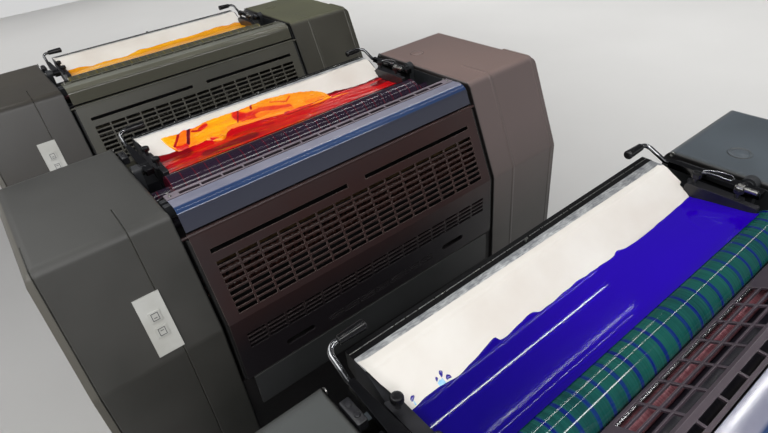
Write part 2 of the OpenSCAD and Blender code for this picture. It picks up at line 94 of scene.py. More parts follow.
# profile: (radius, distance along the axis); every second side cut in gives a knurl
def addTurned(bm, centre, axis, profile, sides=20, ribDeep=0.0):
    w, u = [Vector(Matrix.Identity(3)[("XYZ".index(axis) + k) % 3]) for k in (0, 1)]
    v = w.cross(u)
    rings = []
    for radius, reach in profile:
        ring = []
        for i in range(sides):
            turn = 2 * pi * i / sides
            r = radius - (ribDeep if i % 2 and radius > ribDeep * 3 else 0)
            ring.append(Vector(centre) + w * reach + (u * cos(turn) + v * sin(turn)) * r)
        rings.append(ring)
    addRings(bm, rings)


def addBlock(bm, low, high, cut=0.8):
    def outline(inset, z):
        x0, y0, x1, y1 = low[0] + inset, low[1] + inset, high[0] - inset, high[1] - inset
        return [(x0 + cut, y0, z), (x1 - cut, y0, z), (x1, y0 + cut, z), (x1, y1 - cut, z),
                (x1 - cut, y1, z), (x0 + cut, y1, z), (x0, y1 - cut, z), (x0, y0 + cut, z)]
    addRings(bm, [outline(cut, low[2]), outline(0, low[2] + cut),
                  outline(0, high[2] - cut), outline(cut, high[2])])


# round wire through points, with rings square to the way it runs
def addWire(bm, points, radius, sides=10, loop=False):
    points = [Vector(p) for p in points]
    count = len(points)
    rings = []
    for i, p in enumerate(points):
        before = points[i - 1] if i or loop else p
        after = points[(i + 1) % count] if i < count - 1 or loop else p
        way = (after - before).normalized()
        side = way.cross(Vector((0, 0, 1)))
        side = side.normalized() if side.length > 0.01 else Vector((1, 0, 0))
        top = side.cross(way)
        rings.append([p + (side * cos(2 * pi * k / sides) + top * sin(2 * pi * k / sides)) * radius
                      for k in range(sides)])
    if loop:
        rings.append(rings[0])
    addRings(bm, rings, caps=not loop)


def makePiece(name, bm, material, unit=None, body="root", smooth=40):
    if unit:
        move = Matrix.Translation(origin[unit]) @ Matrix.Scale(mm, 4)
        bmesh.ops.transform(bm, matrix=move, verts=bm.verts)
    bmesh.ops.remove_doubles(bm, verts=bm.verts, dist=1e-6)
    bmesh.ops.recalc_face_normals(bm, faces=bm.faces)
    mesh = bpy.data.meshes.new(name)
    bm.to_mesh(mesh)
    bm.free()
    mesh.polygons.foreach_set("use_smooth", [True] * len(mesh.polygons))
    mesh.set_sharp_from_angle(angle=radians(smooth))
    piece = bpy.data.objects.new(name, mesh)
    bpy.context.scene.collection.objects.link(piece)
    mesh.materials.append(material)
    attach(piece, body)
    return piece


# curve through (x, value) points, smooth at each of them
def lineAt(points, x):
    if x <= points[0][0]:
        return points[0][1]
    if x >= points[-1][0]:
        return points[-1][1]
    k = max(i for i, p in enumerate(points) if p[0] <= x)

    def slopeAt(i):
        a, b = points[max(i - 1, 0)], points[min(i + 1, len(points) - 1)]
        return (b[1] - a[1]) / (b[0] - a[0])
    (x0, y0), (x1, y1) = points[k], points[k + 1]
    width = x1 - x0
    t = (x - x0) / width
    return (y0 * (1 + 2 * t) * (1 - t) ** 2 + slopeAt(k) * width * t * (1 - t) ** 2
            + y1 * t * t * (3 - 2 * t) + slopeAt(k + 1) * width * t * t * (t - 1))


def softMax(a, b, blend):
    return 0.5 * (a + b + sqrt((a - b) ** 2 + blend ** 2))


# material helpers
def fromHex(text):
    parts = [int(text[i:i + 2], 16) / 255 for i in (1, 3, 5)]
    return tuple(c / 12.92 if c <= 0.04045 else ((c + 0.055) / 1.055) ** 2.4 for c in parts) + (1.0,)


# adds a node and gives one of its outputs, the first unless another is named
def addNode(tree, kind, settings=None, links=None, out=0):
    node = tree.nodes.new("ShaderNode" + kind)
    for key, value in (settings or {}).items():
        if isinstance(key, int) or key in node.inputs:
            node.inputs[key].default_value = value
        else:
            setattr(node, key, value)
    for key, socket in (links or {}).items():
        tree.links.new(socket, node.inputs[key])
    return node.outputs[out] if node.outputs else node


def startMaterial(name, settings):
    material = bpy.data.materials.new(name)
    material.use_nodes = True
    tree = material.node_tree
    tree.nodes.clear()
    shader = addNode(tree, "BsdfPrincipled", settings).node
    addNode(tree, "OutputMaterial", None, {"Surface": shader.outputs[0]})
    return material, tree, shader, addNode(tree, "TexCoord", out="Object")


# the roughness follows a cloud from 0 to 1, and the relief follows a grain
def finishShader(tree, shader, look, base, cloud, grain, deepMm, normal=None):
    smooth, dull = look["rough"]
    rough = addNode(tree, "MapRange", {"To Min": smooth, "To Max": dull}, {"Value": cloud})
    bump = addNode(tree, "Bump", {"Strength": look["bump"], "Distance": deepMm * mm}, {"Height": grain})
    if normal:
        tree.links.new(normal, bump.node.inputs["Normal"])
    for key, socket in {"Base Color": base, "Roughness": rough, "Normal": bump}.items():
        tree.links.new(socket, shader.inputs[key])


# bands of another colour along an axis: (axis, where it starts, where it is full, colour, share)
def addZones(tree, spot, base, zones):
    for axis, start, full, colour, share in zones:
        reach = addNode(tree, "SeparateXYZ", None, {0: spot}, "XYZ".index(axis[-1]))
        if axis[0] == "|":
            reach = addNode(tree, "Math", {"operation": "ABSOLUTE"}, {0: reach})
        band = addNode(tree, "MapRange", {"From Min": start, "From Max": full, "To Max": share},
                       {"Value": reach})
        base = addNode(tree, "MixRGB", {"Color2": fromHex(colour)}, {"Fac": band, "Color1": base})
    return base


# enamelled or painted sheet: large smudges, an orange-peel skin, rubbed edges, and on top a pale tone that is
# dust with a painted sheen
def paintedSteel(name, look):
    material, tree, shader, spot = startMaterial(name, {
        "IOR": 1.5, "Metallic": 0.0, "Specular IOR Level": look.get("specular", 0.5)})
    smudge = addNode(tree, "TexNoise", {"Scale": 1000 / look["smudgeMm"], "Detail": 5.0,
                                        "Roughness": 0.62}, {"Vector": spot})
    patch = addNode(tree, "MapRange", {"From Min": 0.38, "From Max": 0.68}, {"Value": smudge})
    base = addNode(tree, "MixRGB", {"Color1": fromHex(look["base"]), "Color2": fromHex(look["smudge"])},
                   {"Fac": patch})
    # rubbed edges: where a rounded normal leaves the flat one; on the front guard this pale edge colour is a
    # painted highlight where the slot edges catch the light
    bevel = addNode(tree, "Bevel", {"samples": 4, "Radius": look["edgeMm"] * mm})
    flat = addNode(tree, "NewGeometry", out="Normal")
    agree = addNode(tree, "VectorMath", {"operation": "DOT_PRODUCT"}, {0: bevel, 1: flat}, "Value")
    edge = addNode(tree, "MapRange", {"From Min": 0.985, "From Max": 0.90, "To Max": look["rub"]},
                   {"Value": agree})
    grit = addNode(tree, "TexNoise", {"Scale": 1000 / 14, "Detail": 6.0}, {"Vector": spot})
    worn = addNode(tree, "Math", {"operation": "MULTIPLY"}, {0: edge, 1: grit})
    base = addNode(tree, "MixRGB", {"Color2": fromHex(look["worn"])}, {"Fac": worn, "Color1": base})
    # zones of painted light, laid under the dust and sheen
    base = addZones(tree, spot, base, look.get("paintedLightZones", []))
    # dust and handling marks settle on what faces up; the same pale tone paints the sheen that the tops catch
    # from above, and on the rolled caps it is a painted reflection of the ceiling
    up = addNode(tree, "SeparateXYZ", None, {0: flat}, 2)
    paleUpFrom, paleUpFull = look.get("dustAndSheenUp", (0.6, 1.0))
    facing = addNode(tree, "MapRange", {"From Min": paleUpFrom, "From Max": paleUpFull,
                                        "To Max": look["dustAndSheenShare"]}, {"Value": up})
    paleTopPatches = addNode(tree, "MapRange", {"To Min": 0.6}, {"Value": patch})
    dustAndSheenMask = addNode(tree, "Math", {"operation": "MULTIPLY"}, {0: facing, 1: paleTopPatches})
    base = addNode(tree, "MixRGB", {"Color2": fromHex(look["dustAndSheen"])}, {"Fac": dustAndSheenMask, "Color1": base})
    base = addZones(tree, spot, base, look.get("zones", []))
    peel = addNode(tree, "TexNoise", {"Scale": 1000 / look["peelMm"], "Detail": 3.0}, {"Vector": spot})
    finishShader(tree, shader, look, base, patch, peel, 0.6, bevel)
    return material


# bare metal: drawn lines along the press, darker in patches, bright where it is rubbed
def bareMetal(name, look):
    material, tree, shader, spot = startMaterial(name, {"Metallic": look.get("metallic", 1.0)})
    stretch = addNode(tree, "Mapping", {"Scale": look["stretch"]}, {"Vector": spot})
    lines = addNode(tree, "TexNoise", {"Scale": 1000 / look["grainMm"], "Detail": 6.0}, {"Vector": stretch})
    cloud = addNode(tree, "TexNoise", {"Scale": 1000 / look["cloudMm"], "Detail": 4.0}, {"Vector": spot})
    mixed = addNode(tree, "Math", {"operation": "MULTIPLY"}, {0: lines, 1: cloud})
    share = addNode(tree, "MapRange", {"From Min": 0.15, "From Max": 0.38}, {"Value": mixed})
    base = addNode(tree, "MixRGB", {"Color1": fromHex(look["dark"]), "Color2": fromHex(look["base"])},
                   {"Fac": share})
    base = addZones(tree, spot, base, look.get("zones", []))
    if "metalFrom" in look:
        across = addNode(tree, "SeparateXYZ", None, {0: spot})
        across = addNode(tree, "Math", {"operation": "ABSOLUTE"}, {0: across})
        metal = addNode(tree, "MapRange", {"From Min": look["metalFrom"] - 0.5 * mm,
                                           "From Max": look["metalFrom"] + 0.5 * mm}, {"Value": across})
        tree.links.new(metal, shader.inputs["Metallic"])
    dull = addNode(tree, "MapRange", {"From Min": 0.3, "From Max": 0.7, "To Min": 1.0, "To Max": 0.0},
                   {"Value": cloud})
    bevel = addNode(tree, "Bevel", {"samples": 4, "Radius": 0.8 * mm})
    finishShader(tree, shader, look, base, dull, lines, 0.4, bevel)
    return material


# rubber-covered or steel roller with ink on it; rings of ink stand one ink zone apart
def rollerSkin(name, look):
    material, tree, shader, spot = startMaterial(name, {"IOR": 1.5, "Metallic": look["metallic"]})
    across = addNode(tree, "SeparateXYZ", None, {0: spot})
    wobble = addNode(tree, "TexNoise", {"Scale": 28.0, "Detail": 3.0}, {"Vector": spot})
    shift = addNode(tree, "Math", {"operation": "MULTIPLY_ADD", 1: look["wobbleMm"] * mm},
                    {0: wobble, 2: across})
    phase = addNode(tree, "Math", {"operation": "DIVIDE", 1: look["pitchMm"] * mm}, {0: shift})
    saw = addNode(tree, "Math", {"operation": "PINGPONG", 1: 0.5}, {0: phase})
    half = look["ringMm"] / look["pitchMm"] / 2
    ring = addNode(tree, "MapRange", {"From Min": half * 1.25, "From Max": half * 0.75,
                                      "To Max": look["ringShare"]}, {"Value": saw})
    thin = addNode(tree, "TexNoise", {"Scale": 9.0, "Detail": 4.0}, {"Vector": spot})
    cover = addNode(tree, "MapRange", {"From Min": 0.25, "From Max": 0.75}, {"Value": thin})
    base = addNode(tree, "MixRGB", {"Color1": fromHex(look["base"]), "Color2": fromHex(look["film"])},
                   {"Fac": cover})
    base = addNode(tree, "MixRGB", {"Color2": fromHex(look["ring"])}, {"Fac": ring, "Color1": base})
    # fine lines round the roller
    stretch = addNode(tree, "Mapping", {"Scale": (1, 0.02, 0.02)}, {"Vector": spot})
    fine = addNode(tree, "TexNoise", {"Scale": 1000 / look["lineMm"], "Detail": 4.0}, {"Vector": stretch})
    streak = addNode(tree, "MapRange", {"From Min": 0.35, "From Max": 0.7, "To Max": look["lineShare"]},
                     {"Value": fine})
    base = addNode(tree, "MixRGB", {"Color2": fromHex(look["line"])}, {"Fac": streak, "Color1": base})
    finishShader(tree, shader, look, base, thin, fine, 0.5)
    return material


# moulded plastic, rubber or board: even colour with a fine grain and faint soiling
def mouldedPlastic(name, look):
    material, tree, shader, spot = startMaterial(name, {"IOR": 1.5, "Metallic": 0.0})
    grain = addNode(tree, "TexNoise", {"Scale": 1000 / look["grainMm"], "Detail": 4.0}, {"Vector": spot})
    cloud = addNode(tree, "TexNoise", {"Scale": 1000 / look["cloudMm"], "Detail": 4.0}, {"Vector": spot})
    share = addNode(tree, "MapRange", {"From Min": 0.4, "From Max": 0.7}, {"Value": cloud})
    base = addNode(tree, "MixRGB", {"Color1": fromHex(look["base"]), "Color2": fromHex(look["soiled"])},
                   {"Fac": share})
    bevel = addNode(tree, "Bevel", {"samples": 4, "Radius": 0.8 * mm})
    finishShader(tree, shader, look, base, cloud, grain, 0.3, bevel)
    return material


# thick printing ink: deep colour under a wet gloss; where the mesh carries a shade, it leads the
# colour and the strokes only break it up
def wetInk(name, look):
    material, tree, shader, spot = startMaterial(name, {"IOR": 1.5, "Metallic": 0.0})
    stretch = addNode(tree, "Mapping", {"Scale": look["stretch"], "Rotation": (0, 0, look["turn"])},
                      {"Vector": spot})
    stroke = addNode(tree, "TexNoise", {"Scale": 1000 / look["strokeMm"], "Detail": 4.0,
                                        "Distortion": look["swirl"]}, {"Vector": stretch})
    lead = stroke
    if look["shaded"]:
        shade = addNode(tree, "Attribute", {"attribute_name": "shade"}, out="Fac")
        drift = addNode(tree, "Math", {"operation": "MULTIPLY_ADD", 1: look["drift"], 2: -look["drift"] / 2},
                        {0: stroke})
        lead = addNode(tree, "Math", {"operation": "ADD"}, {0: shade, 1: drift})
    ramp = addNode(tree, "ValToRGB", None, {"Fac": lead})
    stops = ramp.node.color_ramp.elements
    for i, (where, colour) in enumerate(look["colours"]):
        stop = stops[i] if i < 2 else stops.new(where)
        stop.position = where
        stop.color = fromHex(colour)
    finishShader(tree, shader, look, ramp, stroke, stroke, 1.5)
    return material


# stoved enamel on sheet steel: a hard dark skin with a soft sheen, rubbed grey at its edges and pale on
# the operator's corner strip; the inner sides towards the rollers carry painted shade, nearly black, in the
# gap between the housings
coverLook = {
    "base": "#32322f", "smudge": "#3d3c39", "worn": "#8a877c", "dustAndSheen": "#5b656d", "dustAndSheenShare": 0.9,
    "smudgeMm": 420, "edgeMm": 2.5, "rub": 0.5, "rough": (0.34, 0.5), "peelMm": 1.6, "bump": 0.10,
    # zones: painted shade on the inner walls, then the pale corner strip
    "zones": [("|X", 0.4535, 0.4515, "#0d0c0c", 0.9), ("X", -0.7255, -0.7275, "#5f5c54", 0.9)]}
coverEnamel = {
    "blue": paintedSteel("stoved enamel on sheet steel, dark grey", coverLook),
    "red": paintedSteel("stoved enamel on sheet steel, grey with painted mauve light", {
        **coverLook, "dustAndSheen": "#8a746d",
        # painted light: mauve over the top and upper front where they lean to the light, a flatter grey lower
        # down the front
        "paintedLightZones": [("X", 0.40, 0.46, "#6c5e5c", 0.85), ("Z", 1.34, 1.0, "#42413e", 0.85)]}),
    "yellow": paintedSteel("stoved enamel on sheet steel, olive grey", {
        **coverLook, "base": "#36342c", "smudge": "#403e34", "dustAndSheen": "#6c6d54"}),
}
operatorEnamel = {
    "blue": paintedSteel("stoved enamel on sheet steel, grey", {**coverLook, "dustAndSheen": "#4c4f4e"}),
    "red": paintedSteel("stoved enamel on sheet steel, plain grey", {**coverLook, "dustAndSheen": "#4a4a47"}),
    "yellow": paintedSteel("stoved enamel on sheet steel, warm grey", {
        **coverLook, "base": "#2e2b27", "smudge": "#393530", "dustAndSheen": "#4b473e"}),
}
rearEnamel = paintedSteel("stoved enamel on sheet steel, panels", {**coverLook, "zones": []})
kickEnamel = paintedSteel("stoved enamel on folded plate, grey", {
    "base": "#2b2c2c", "smudge": "#353637", "worn": "#77756c", "dustAndSheen": "#4c4c4a", "dustAndSheenShare": 0.5,
    "smudgeMm": 260, "edgeMm": 1.5, "rub": 0.5, "rough": (0.4, 0.55), "peelMm": 1.6, "bump": 0.12})
# gloss enamel on a rolled cap, with painted reflection bands: a pale top, deep blue round the bend and nearly
# black below
capLook = {
    "base": "#2a3d62", "smudge": "#31466c", "worn": "#8f95a0", "dustAndSheen": "#9a98a4", "dustAndSheenShare": 0.95,
    "dustAndSheenUp": (0.93, 0.975),
    "smudgeMm": 300, "edgeMm": 0.3, "rub": 0.1, "rough": (0.06, 0.10), "peelMm": 2.4, "bump": 0.01,
    # painted reflection: the darker zone below the lamp's line
    "zones": [("Z", 1.4885, 1.4865, "#3c3d47", 0.95)]}
capEnamel = {
    "blue": paintedSteel("gloss enamel on rolled sheet, painted blue reflection bands", capLook),
    "yellow": paintedSteel("gloss enamel on rolled sheet, olive grey", {
        **capLook, "base": "#5c5b50", "smudge": "#68675b", "dustAndSheen": "#85867b",
        # painted reflection below the lamp's line, as on the blue cap
        "zones": [("Z", 1.4885, 1.4865, "#4a493f", 0.95)]}),
}
capEnamel["red"] = capEnamel["blue"]
# enamel on punched plate: purple grey, pale on its rails where dust carries a painted sheen
topLook = {
    "base": "#3a3138", "smudge": "#4b3f49", "worn": "#b5abb0", "dustAndSheen": "#8d838b", "dustAndSheenShare": 0.9,
    "smudgeMm": 120, "edgeMm": 1.2, "rub": 0.8, "rough": (0.36, 0.5), "peelMm": 1.4, "bump": 0.14}
topEnamel = {
    "blue": paintedSteel("stoved enamel on punched plate, dusky", {**topLook, "dustAndSheen": "#4c4349"}),
    "red": paintedSteel("stoved enamel on punched plate, purple grey", topLook),
    "yellow": paintedSteel("stoved enamel on punched plate, olive", {
        **topLook, "base": "#36352c", "smudge": "#444337", "worn": "#8f8e7c", "dustAndSheen": "#5a5a4c"}),
}
# the front guard is blue black, with a painted maroon brown reflection on its upper part, and the bright
# edges round its slots are painted highlights
guardLook = {
    "base": "#35211f", "smudge": "#2b1e1f", "worn": "#a89c92", "dustAndSheen": "#3a2c2c", "dustAndSheenShare": 0.3,
    "smudgeMm": 330, "edgeMm": 1.6, "rub": 0.85, "rough": (0.32, 0.46), "peelMm": 1.4, "bump": 0.12,
    "zones": [("Z", 1.25, 1.12, "#141419", 0.85)]}
guardEnamel = {
    "blue": paintedSteel("stoved enamel on punched plate, maroon black", guardLook),
    "yellow": paintedSteel("stoved enamel on punched plate, olive black", {
        **guardLook, "base": "#3d3c34", "smudge": "#454339", "dustAndSheen": "#4c4b3f",
        "zones": [("Z", 1.20, 1.05, "#1b1a17", 0.6)]}),
}
guardEnamel["red"] = guardEnamel["blue"]
# paint on cast iron: matt and slightly rough
frameIron = paintedSteel("painted cast iron, dark", {
    "base": "#1b1d1f", "smudge": "#26282b", "worn": "#6d6c6a", "dustAndSheen": "#3a3b3d", "dustAndSheenShare": 0.5,
    "smudgeMm": 90, "edgeMm": 1.0, "rub": 0.6, "rough": (0.42, 0.6), "peelMm": 3.0, "bump": 0.3})
innerBlack = paintedSteel("matt black paint on plate", {
    "base": "#0b0a0b", "smudge": "#120e0f", "worn": "#3a3432", "dustAndSheen": "#151213", "dustAndSheenShare": 0.3,
    "smudgeMm": 120, "edgeMm": 1.0, "rub": 0.3, "rough": (0.5, 0.7), "peelMm": 2.0, "bump": 0.2})
# the plate turns nearly black behind its rear bar: painted shade behind the bar
ductSteel = {unit: paintedSteel("blackened steel plate, " + unit, {
    "base": "#141519", "smudge": "#1c1d22", "worn": "#5a5b5d", "dustAndSheen": "#1c1d20", "dustAndSheenShare": 0.6,
    "smudgeMm": 70, "edgeMm": 1.2, "rub": 0.6, "rough": (0.5, 0.7), "peelMm": 1.2, "bump": 0.12,
    "specular": 0.2, "zones": [("Y", origin[unit].y + 0.430, origin[unit].y + 0.432, "#050506", 1.0)],
}) for unit in units}
endPlateBlack = paintedSteel("black oxide on milled plate", {
    "base": "#121214", "smudge": "#1c1c20", "worn": "#5c5c5e", "dustAndSheen": "#26262a", "dustAndSheenShare": 0.4,
    "smudgeMm": 30, "edgeMm": 0.8, "rub": 0.6, "rough": (0.3, 0.5), "peelMm": 1.0, "bump": 0.12})
# lever: blackened arm, chromed rod above it and a black phenolic grip at its inner end
leverSteel = bareMetal("blackened arm with chromed rod and phenolic grip", {
    "base": "#a5a6a7", "dark": "#77787a", "rough": (0.12, 0.24), "grainMm": 30, "cloudMm": 60,
    "stretch": (1, 0.2, 1), "bump": 0.0, "metalFrom": 0.396,
    "zones": [("Z", 1.5050, 1.5035, "#3a3b3d", 0.9), ("|X", 0.3965, 0.3955, "#0c0c0d", 1.0)]})
# bare steel, ground and handled: bright lines and darker patches
brightSteel = bareMetal("drawn steel, bright", {
    "base": "#b4b5b6", "dark": "#7b7c7e", "rough": (0.16, 0.34), "grainMm": 5, "cloudMm": 40,
    "stretch": (1, 0.2, 1), "bump": 0.03})
stripSteel = bareMetal("spring steel strip, worn bright under a dry film", {
    "base": "#dcdedd", "dark": "#8b8e92", "metallic": 0.45, "rough": (0.3, 0.5), "grainMm": 3, "cloudMm": 26,
    "stretch": (0.25, 1, 1), "bump": 0.2})
screwSteel = bareMetal("zinc plated screw, turned", {
    "base": "#b9b9b4", "dark": "#6c6b68", "rough": (0.22, 0.4), "grainMm": 2, "cloudMm": 12,
    "stretch": (1, 1, 1), "bump": 0.05})
treadSteel = bareMetal("aluminium tread plate, rolled", {
    "base": "#a3a5a6", "dark": "#808284", "rough": (0.4, 0.55), "grainMm": 6, "cloudMm": 160,
    "stretch": (1, 1, 1), "bump": 0.1})
barLook = {
    "base": "#a88e68", "dark": "#5c4a34", "rough": (0.35, 0.55), "grainMm": 6, "cloudMm": 60,
    "stretch": (0.3, 1, 1), "bump": 0.1}
innerBar = {
    "blue": bareMetal("brass bar, dulled", {**barLook, "base": "#6d5c48", "dark": "#3a3026"}),
    "red": bareMetal("brass bar, tarnished", barLook),
    "yellow": bareMetal("brass bar, oily", {**barLook, "base": "#565040", "dark": "#2b2820"}),
}
gripPlastic = mouldedPlastic("moulded phenolic, black", {
    "base": "#0d0d0e", "soiled": "#19191b", "rough": (0.16, 0.3), "grainMm": 1.5, "cloudMm": 20,
    "bump": 0.05})
sealRubber = mouldedPlastic("extruded rubber, black", {
    "base": "#0a0a0a", "soiled": "#151413", "rough": (0.5, 0.7), "grainMm": 1.5, "cloudMm": 50, "bump": 0.2})
panelPlastic = mouldedPlastic("moulded ABS, light grey", {
    "base": "#c4c4bf", "soiled": "#b3b2ab", "rough": (0.35, 0.5), "grainMm": 1.2, "cloudMm": 90, "bump": 0.1})
markPlastic = mouldedPlastic("printed film, dark grey", {
    "base": "#55565a", "soiled": "#46474b", "rough": (0.4, 0.5), "grainMm": 1.2, "cloudMm": 40, "bump": 0.05})
# coated card: soft cream with a dull sheen and faint stains
linerSheet = mouldedPlastic("coated board, cream", {
    "base": "#e4e0d8", "soiled": "#d9d2c8", "rough": (0.3, 0.46), "grainMm": 4, "cloudMm": 150, "bump": 0.03})
worksLook = {
    "base": "#2a1512", "smudge": "#3c211b", "worn": "#7b5a4c", "dustAndSheen": "#3a2620", "dustAndSheenShare": 0.6,
    "smudgeMm": 25, "edgeMm": 0.8, "rub": 0.8, "rough": (0.25, 0.45), "peelMm": 1.5, "bump": 0.1}
worksBronze = {
    "red": paintedSteel("oily bronze collars on shafts", worksLook),
    "yellow": paintedSteel("blackened collars on shafts", {
        **worksLook, "base": "#17150f", "smudge": "#221f17", "worn": "#55503f", "dustAndSheen": "#1f1d16"}),
}
worksBronze["blue"] = worksBronze["red"]
# rubber rollers: ground skin with fine lines round it
pinkRubber = rollerSkin("ground rubber, pink", {
    "metallic": 0.0, "base": "#8c4650", "film": "#7a3d48", "ring": "#7a3d48", "ringMm": 2,
    "pitchMm": press["zonePitch"], "ringShare": 0.2, "wobbleMm": 1, "line": "#b98a8e", "lineMm": 2.2,
    "lineShare": 0.6, "rough": (0.3, 0.42), "bump": 0.3})
blackRubber = rollerSkin("ground rubber, black with ink", {
    "metallic": 0.0, "base": "#141318", "film": "#1d1a24", "ring": "#1d1a24", "ringMm": 2,
    "pitchMm": press["zonePitch"], "ringShare": 0.2, "wobbleMm": 1, "line": "#3b3944", "lineMm": 2.2,
    "lineShare": 0.6, "rough": (0.25, 0.4), "bump": 0.3})
# duct rollers: a thin film of ink over ground steel, thicker between the ink zones
rollerLook = {"metallic": 0.0, "pitchMm": press["zonePitch"], "lineMm": 3, "bump": 0.0}
ductRoller = {
    "blue": rollerSkin("ground steel under blue ink", {
        **rollerLook, "base": "#0b3437", "film": "#155048", "ring": "#070468", "ringMm": 7,
        "ringShare": 0.97, "wobbleMm": 4, "line": "#2a6f68", "lineShare": 0.3, "rough": (0.07, 0.1)}),
    "red": rollerSkin("ground steel under red ink", {
        **rollerLook, "base": "#191523", "film": "#231a2c", "ring": "#5c0d1c", "ringMm": 3,
        "ringShare": 0.7, "wobbleMm": 6, "line": "#4a1a2c", "lineShare": 0.2, "rough": (0.10, 0.2)}),
    "yellow": rollerSkin("ground steel under yellow ink", {
        **rollerLook, "base": "#3d3c30", "film": "#4a4838", "ring": "#6c5f1e", "ringMm": 6,
        "ringShare": 0.6, "wobbleMm": 4, "line": "#6e6b58", "lineShare": 0.4, "rough": (0.16, 0.26)}),
}
# inks: heavy pastes that level slowly, so strokes and folds stay
blueInk = wetInk("offset ink, deep blue", {
    "colours": [(0.0, "#0d0070"), (0.5, "#2500ac")], "stretch": (0.3, 1, 1), "turn": 0.0, "shaded": True,
    "drift": 0.16, "strokeMm": 140, "swirl": 0.3, "rough": (0.03, 0.035), "bump": 0.0})
redStops = [(0.0, "#4a0008"), (0.2, "#84000c"), (0.38, "#c4000e"), (0.5, "#dc0e0a"), (0.64, "#f65a04"),
            (0.8, "#fa8e00"), (1.0, "#fdb200")]
thinBlue = wetInk("offset ink, wiped thin over board", {
    "colours": [(0.3, "#5fa8d8"), (0.7, "#a9d4ea")], "stretch": (1, 1, 1), "turn": 0.0, "shaded": False,
    "strokeMm": 9, "swirl": 0.3, "rough": (0.12, 0.2), "bump": 0.1})
redInk = wetInk("offset ink, crimson", {
    "colours": redStops, "stretch": (0.3, 1, 1), "turn": 0.3, "shaded": True, "drift": 0.24,
    "strokeMm": 40, "swirl": 1.2, "rough": (0.10, 0.2), "bump": 0.2})
orangeInk = wetInk("offset ink, yellow folded into red", {
    "colours": redStops, "stretch": (0.25, 1, 1), "turn": 0.3, "shaded": True, "drift": 0.4,
    "strokeMm": 26, "swirl": 1.4, "rough": (0.2, 0.32), "bump": 0.4})
yellowInk = wetInk("offset ink, warm yellow", {
    "colours": [(0.35, "#e0920a"), (0.6, "#f0a80c"), (0.75, "#f5bd2c")], "stretch": (0.25, 1, 1), "turn": 0.2,
    "shaded": False, "strokeMm": 60, "swirl": 1.0, "rough": (0.2, 0.32), "bump": 0.3})
print("materials mixed")

# CAD nodes take their finish
finishes = {
    "bed": frameIron, "footboards": treadSteel, "unit_cores": innerBlack, "rear_panels": rearEnamel,
    "kick_plates": kickEnamel, "button_panels": panelPlastic, "duct_liners": linerSheet,
    "duct_end_plates": endPlateBlack,
}
for unit in units:
    for part, material in {
        "operator_cover": operatorEnamel[unit], "drive_cover": coverEnamel[unit], "side_frames": frameIron,
        "front_cap": capEnamel[unit], "top_guard": topEnamel[unit], "duct_bed": ductSteel[unit],
        "front_guard": guardEnamel[unit], "duct_roller": ductRoller[unit], "transfer_roller": pinkRubber,
        "ink_roller": blackRubber, "operator_lever": leverSteel, "drive_lever": leverSteel,
    }.items():
        finishes[unit + "_" + part] = material
for name, material in finishes.items():
    for slot in nodes[name].material_slots:
        slot.material = material


# height of the duct's bed over its depth: toe, bend and slope
def bedHeight(y):
    slope = tan(radians(press["bedSlope"]))
    toeZ = -(press["creaseY"] - press["toeY"]) * slope + press["creaseZ"]
    lipY, lipZ = press["lip"]
    rise = (toeZ - lipZ) / (press["toeY"] - lipY)
    if y > press["creaseY"]:
        flat = (y - press["creaseY"]) / (press["bedRear"] - press["creaseY"])
        return press["creaseZ"] + press["rearRise"] * flat
    low = toeZ + (y - press["toeY"]) * rise
    high = -(press["creaseY"] - y) * slope + press["creaseZ"]
    return softMax(low, high, press["toeBlend"])


# liner sheets: coated board cut to the duct; its rear edge lies on the worn strip, its left end is
# turned up and its right end is cut in steps round the end plate
liner = {
    "thick": 1.1, "onSlope": 1.8, "onFlat": 1.6, "gap": 0.3, "columns": 120,
    "lapY": 398, "lapOver": 4, "lapUp": 2.6, "rim": 14, "rimUp": 5.0, "rightRim": 0.3,
    "wave": 0.12, "waveMm": (160, 60), "slackY": 402, "slackOver": 7, "slack": 9,
    "rows": [222, 232, 244, 256, 268, 276, 282, 288, 294, 302, 312, 322, 331, 334, 340, 346, 352, 358,
             361, 366, 372, 378, 384, 389, 392, 394, 396, 398, 399, 400, 401, 402, 404, 406, 409],
    "left": [(222, -374), (342, -374), (364, -378), (379, -384), (401, -390), (409, -392)],
    "right": [(222, 374), (331, 373), (346, 378), (358, 377.5), (361, 387), (377, 385), (394, 385),
              (401, 383), (404, 377), (409, 374)],
}


def linerHeight(y):
    return bedHeight(y) + liner["onSlope" if y < press["creaseY"] - 1 else "onFlat"]


def straightAt(points, x):
    for (x0, y0), (x1, y1) in zip(points, points[1:]):
        if x <= x1:
            return y0 + (y1 - y0) * max(0.0, x - x0) / (x1 - x0)
    return points[-1][1]


for k, unit in enumerate(units):
    bm = bmesh.new()
    upper, lower = [], []
    for y in liner["rows"]:
        x0, x1 = straightAt(liner["left"], y), straightAt(liner["right"], y)
        row = []
        for i in range(liner["columns"] + 1):
            share = i / liner["columns"]
            x = x0 + (x1 - x0) * share
            # the rear edge runs further back at the left
            back = y + max(0.0, y - liner["slackY"]) / liner["slackOver"] * liner["slack"] * (1 - share)
            waveX, waveY = liner["waveMm"]
            wave = noise.noise(Vector((x / waveX, y / waveY, 7.3 * k))) * liner["wave"]
            fromLeft = max(0.0, 1 - (x - x0) / liner["rim"])
            fromRight = max(0.0, 1 - (x1 - x) / liner["rim"]) * liner["rightRim"]
            lap = min(1.0, max(0.0, (back - liner["lapY"]) / liner["lapOver"])) * liner["lapUp"]
            row.append(Vector((x, back, linerHeight(back) + liner["gap"] + lap + wave
                               + liner["rimUp"] * (fromLeft + fromRight))))
        upper.append(row)
        lower.append([p - Vector((0, 0, liner["thick"])) for p in row])
    addRings(bm, [u + d[::-1] for u, d in zip(upper, lower)])
    piece = makePiece(unit + "_liner_sheet", bm, linerSheet, unit, smooth=50)
    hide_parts("duct_liners")

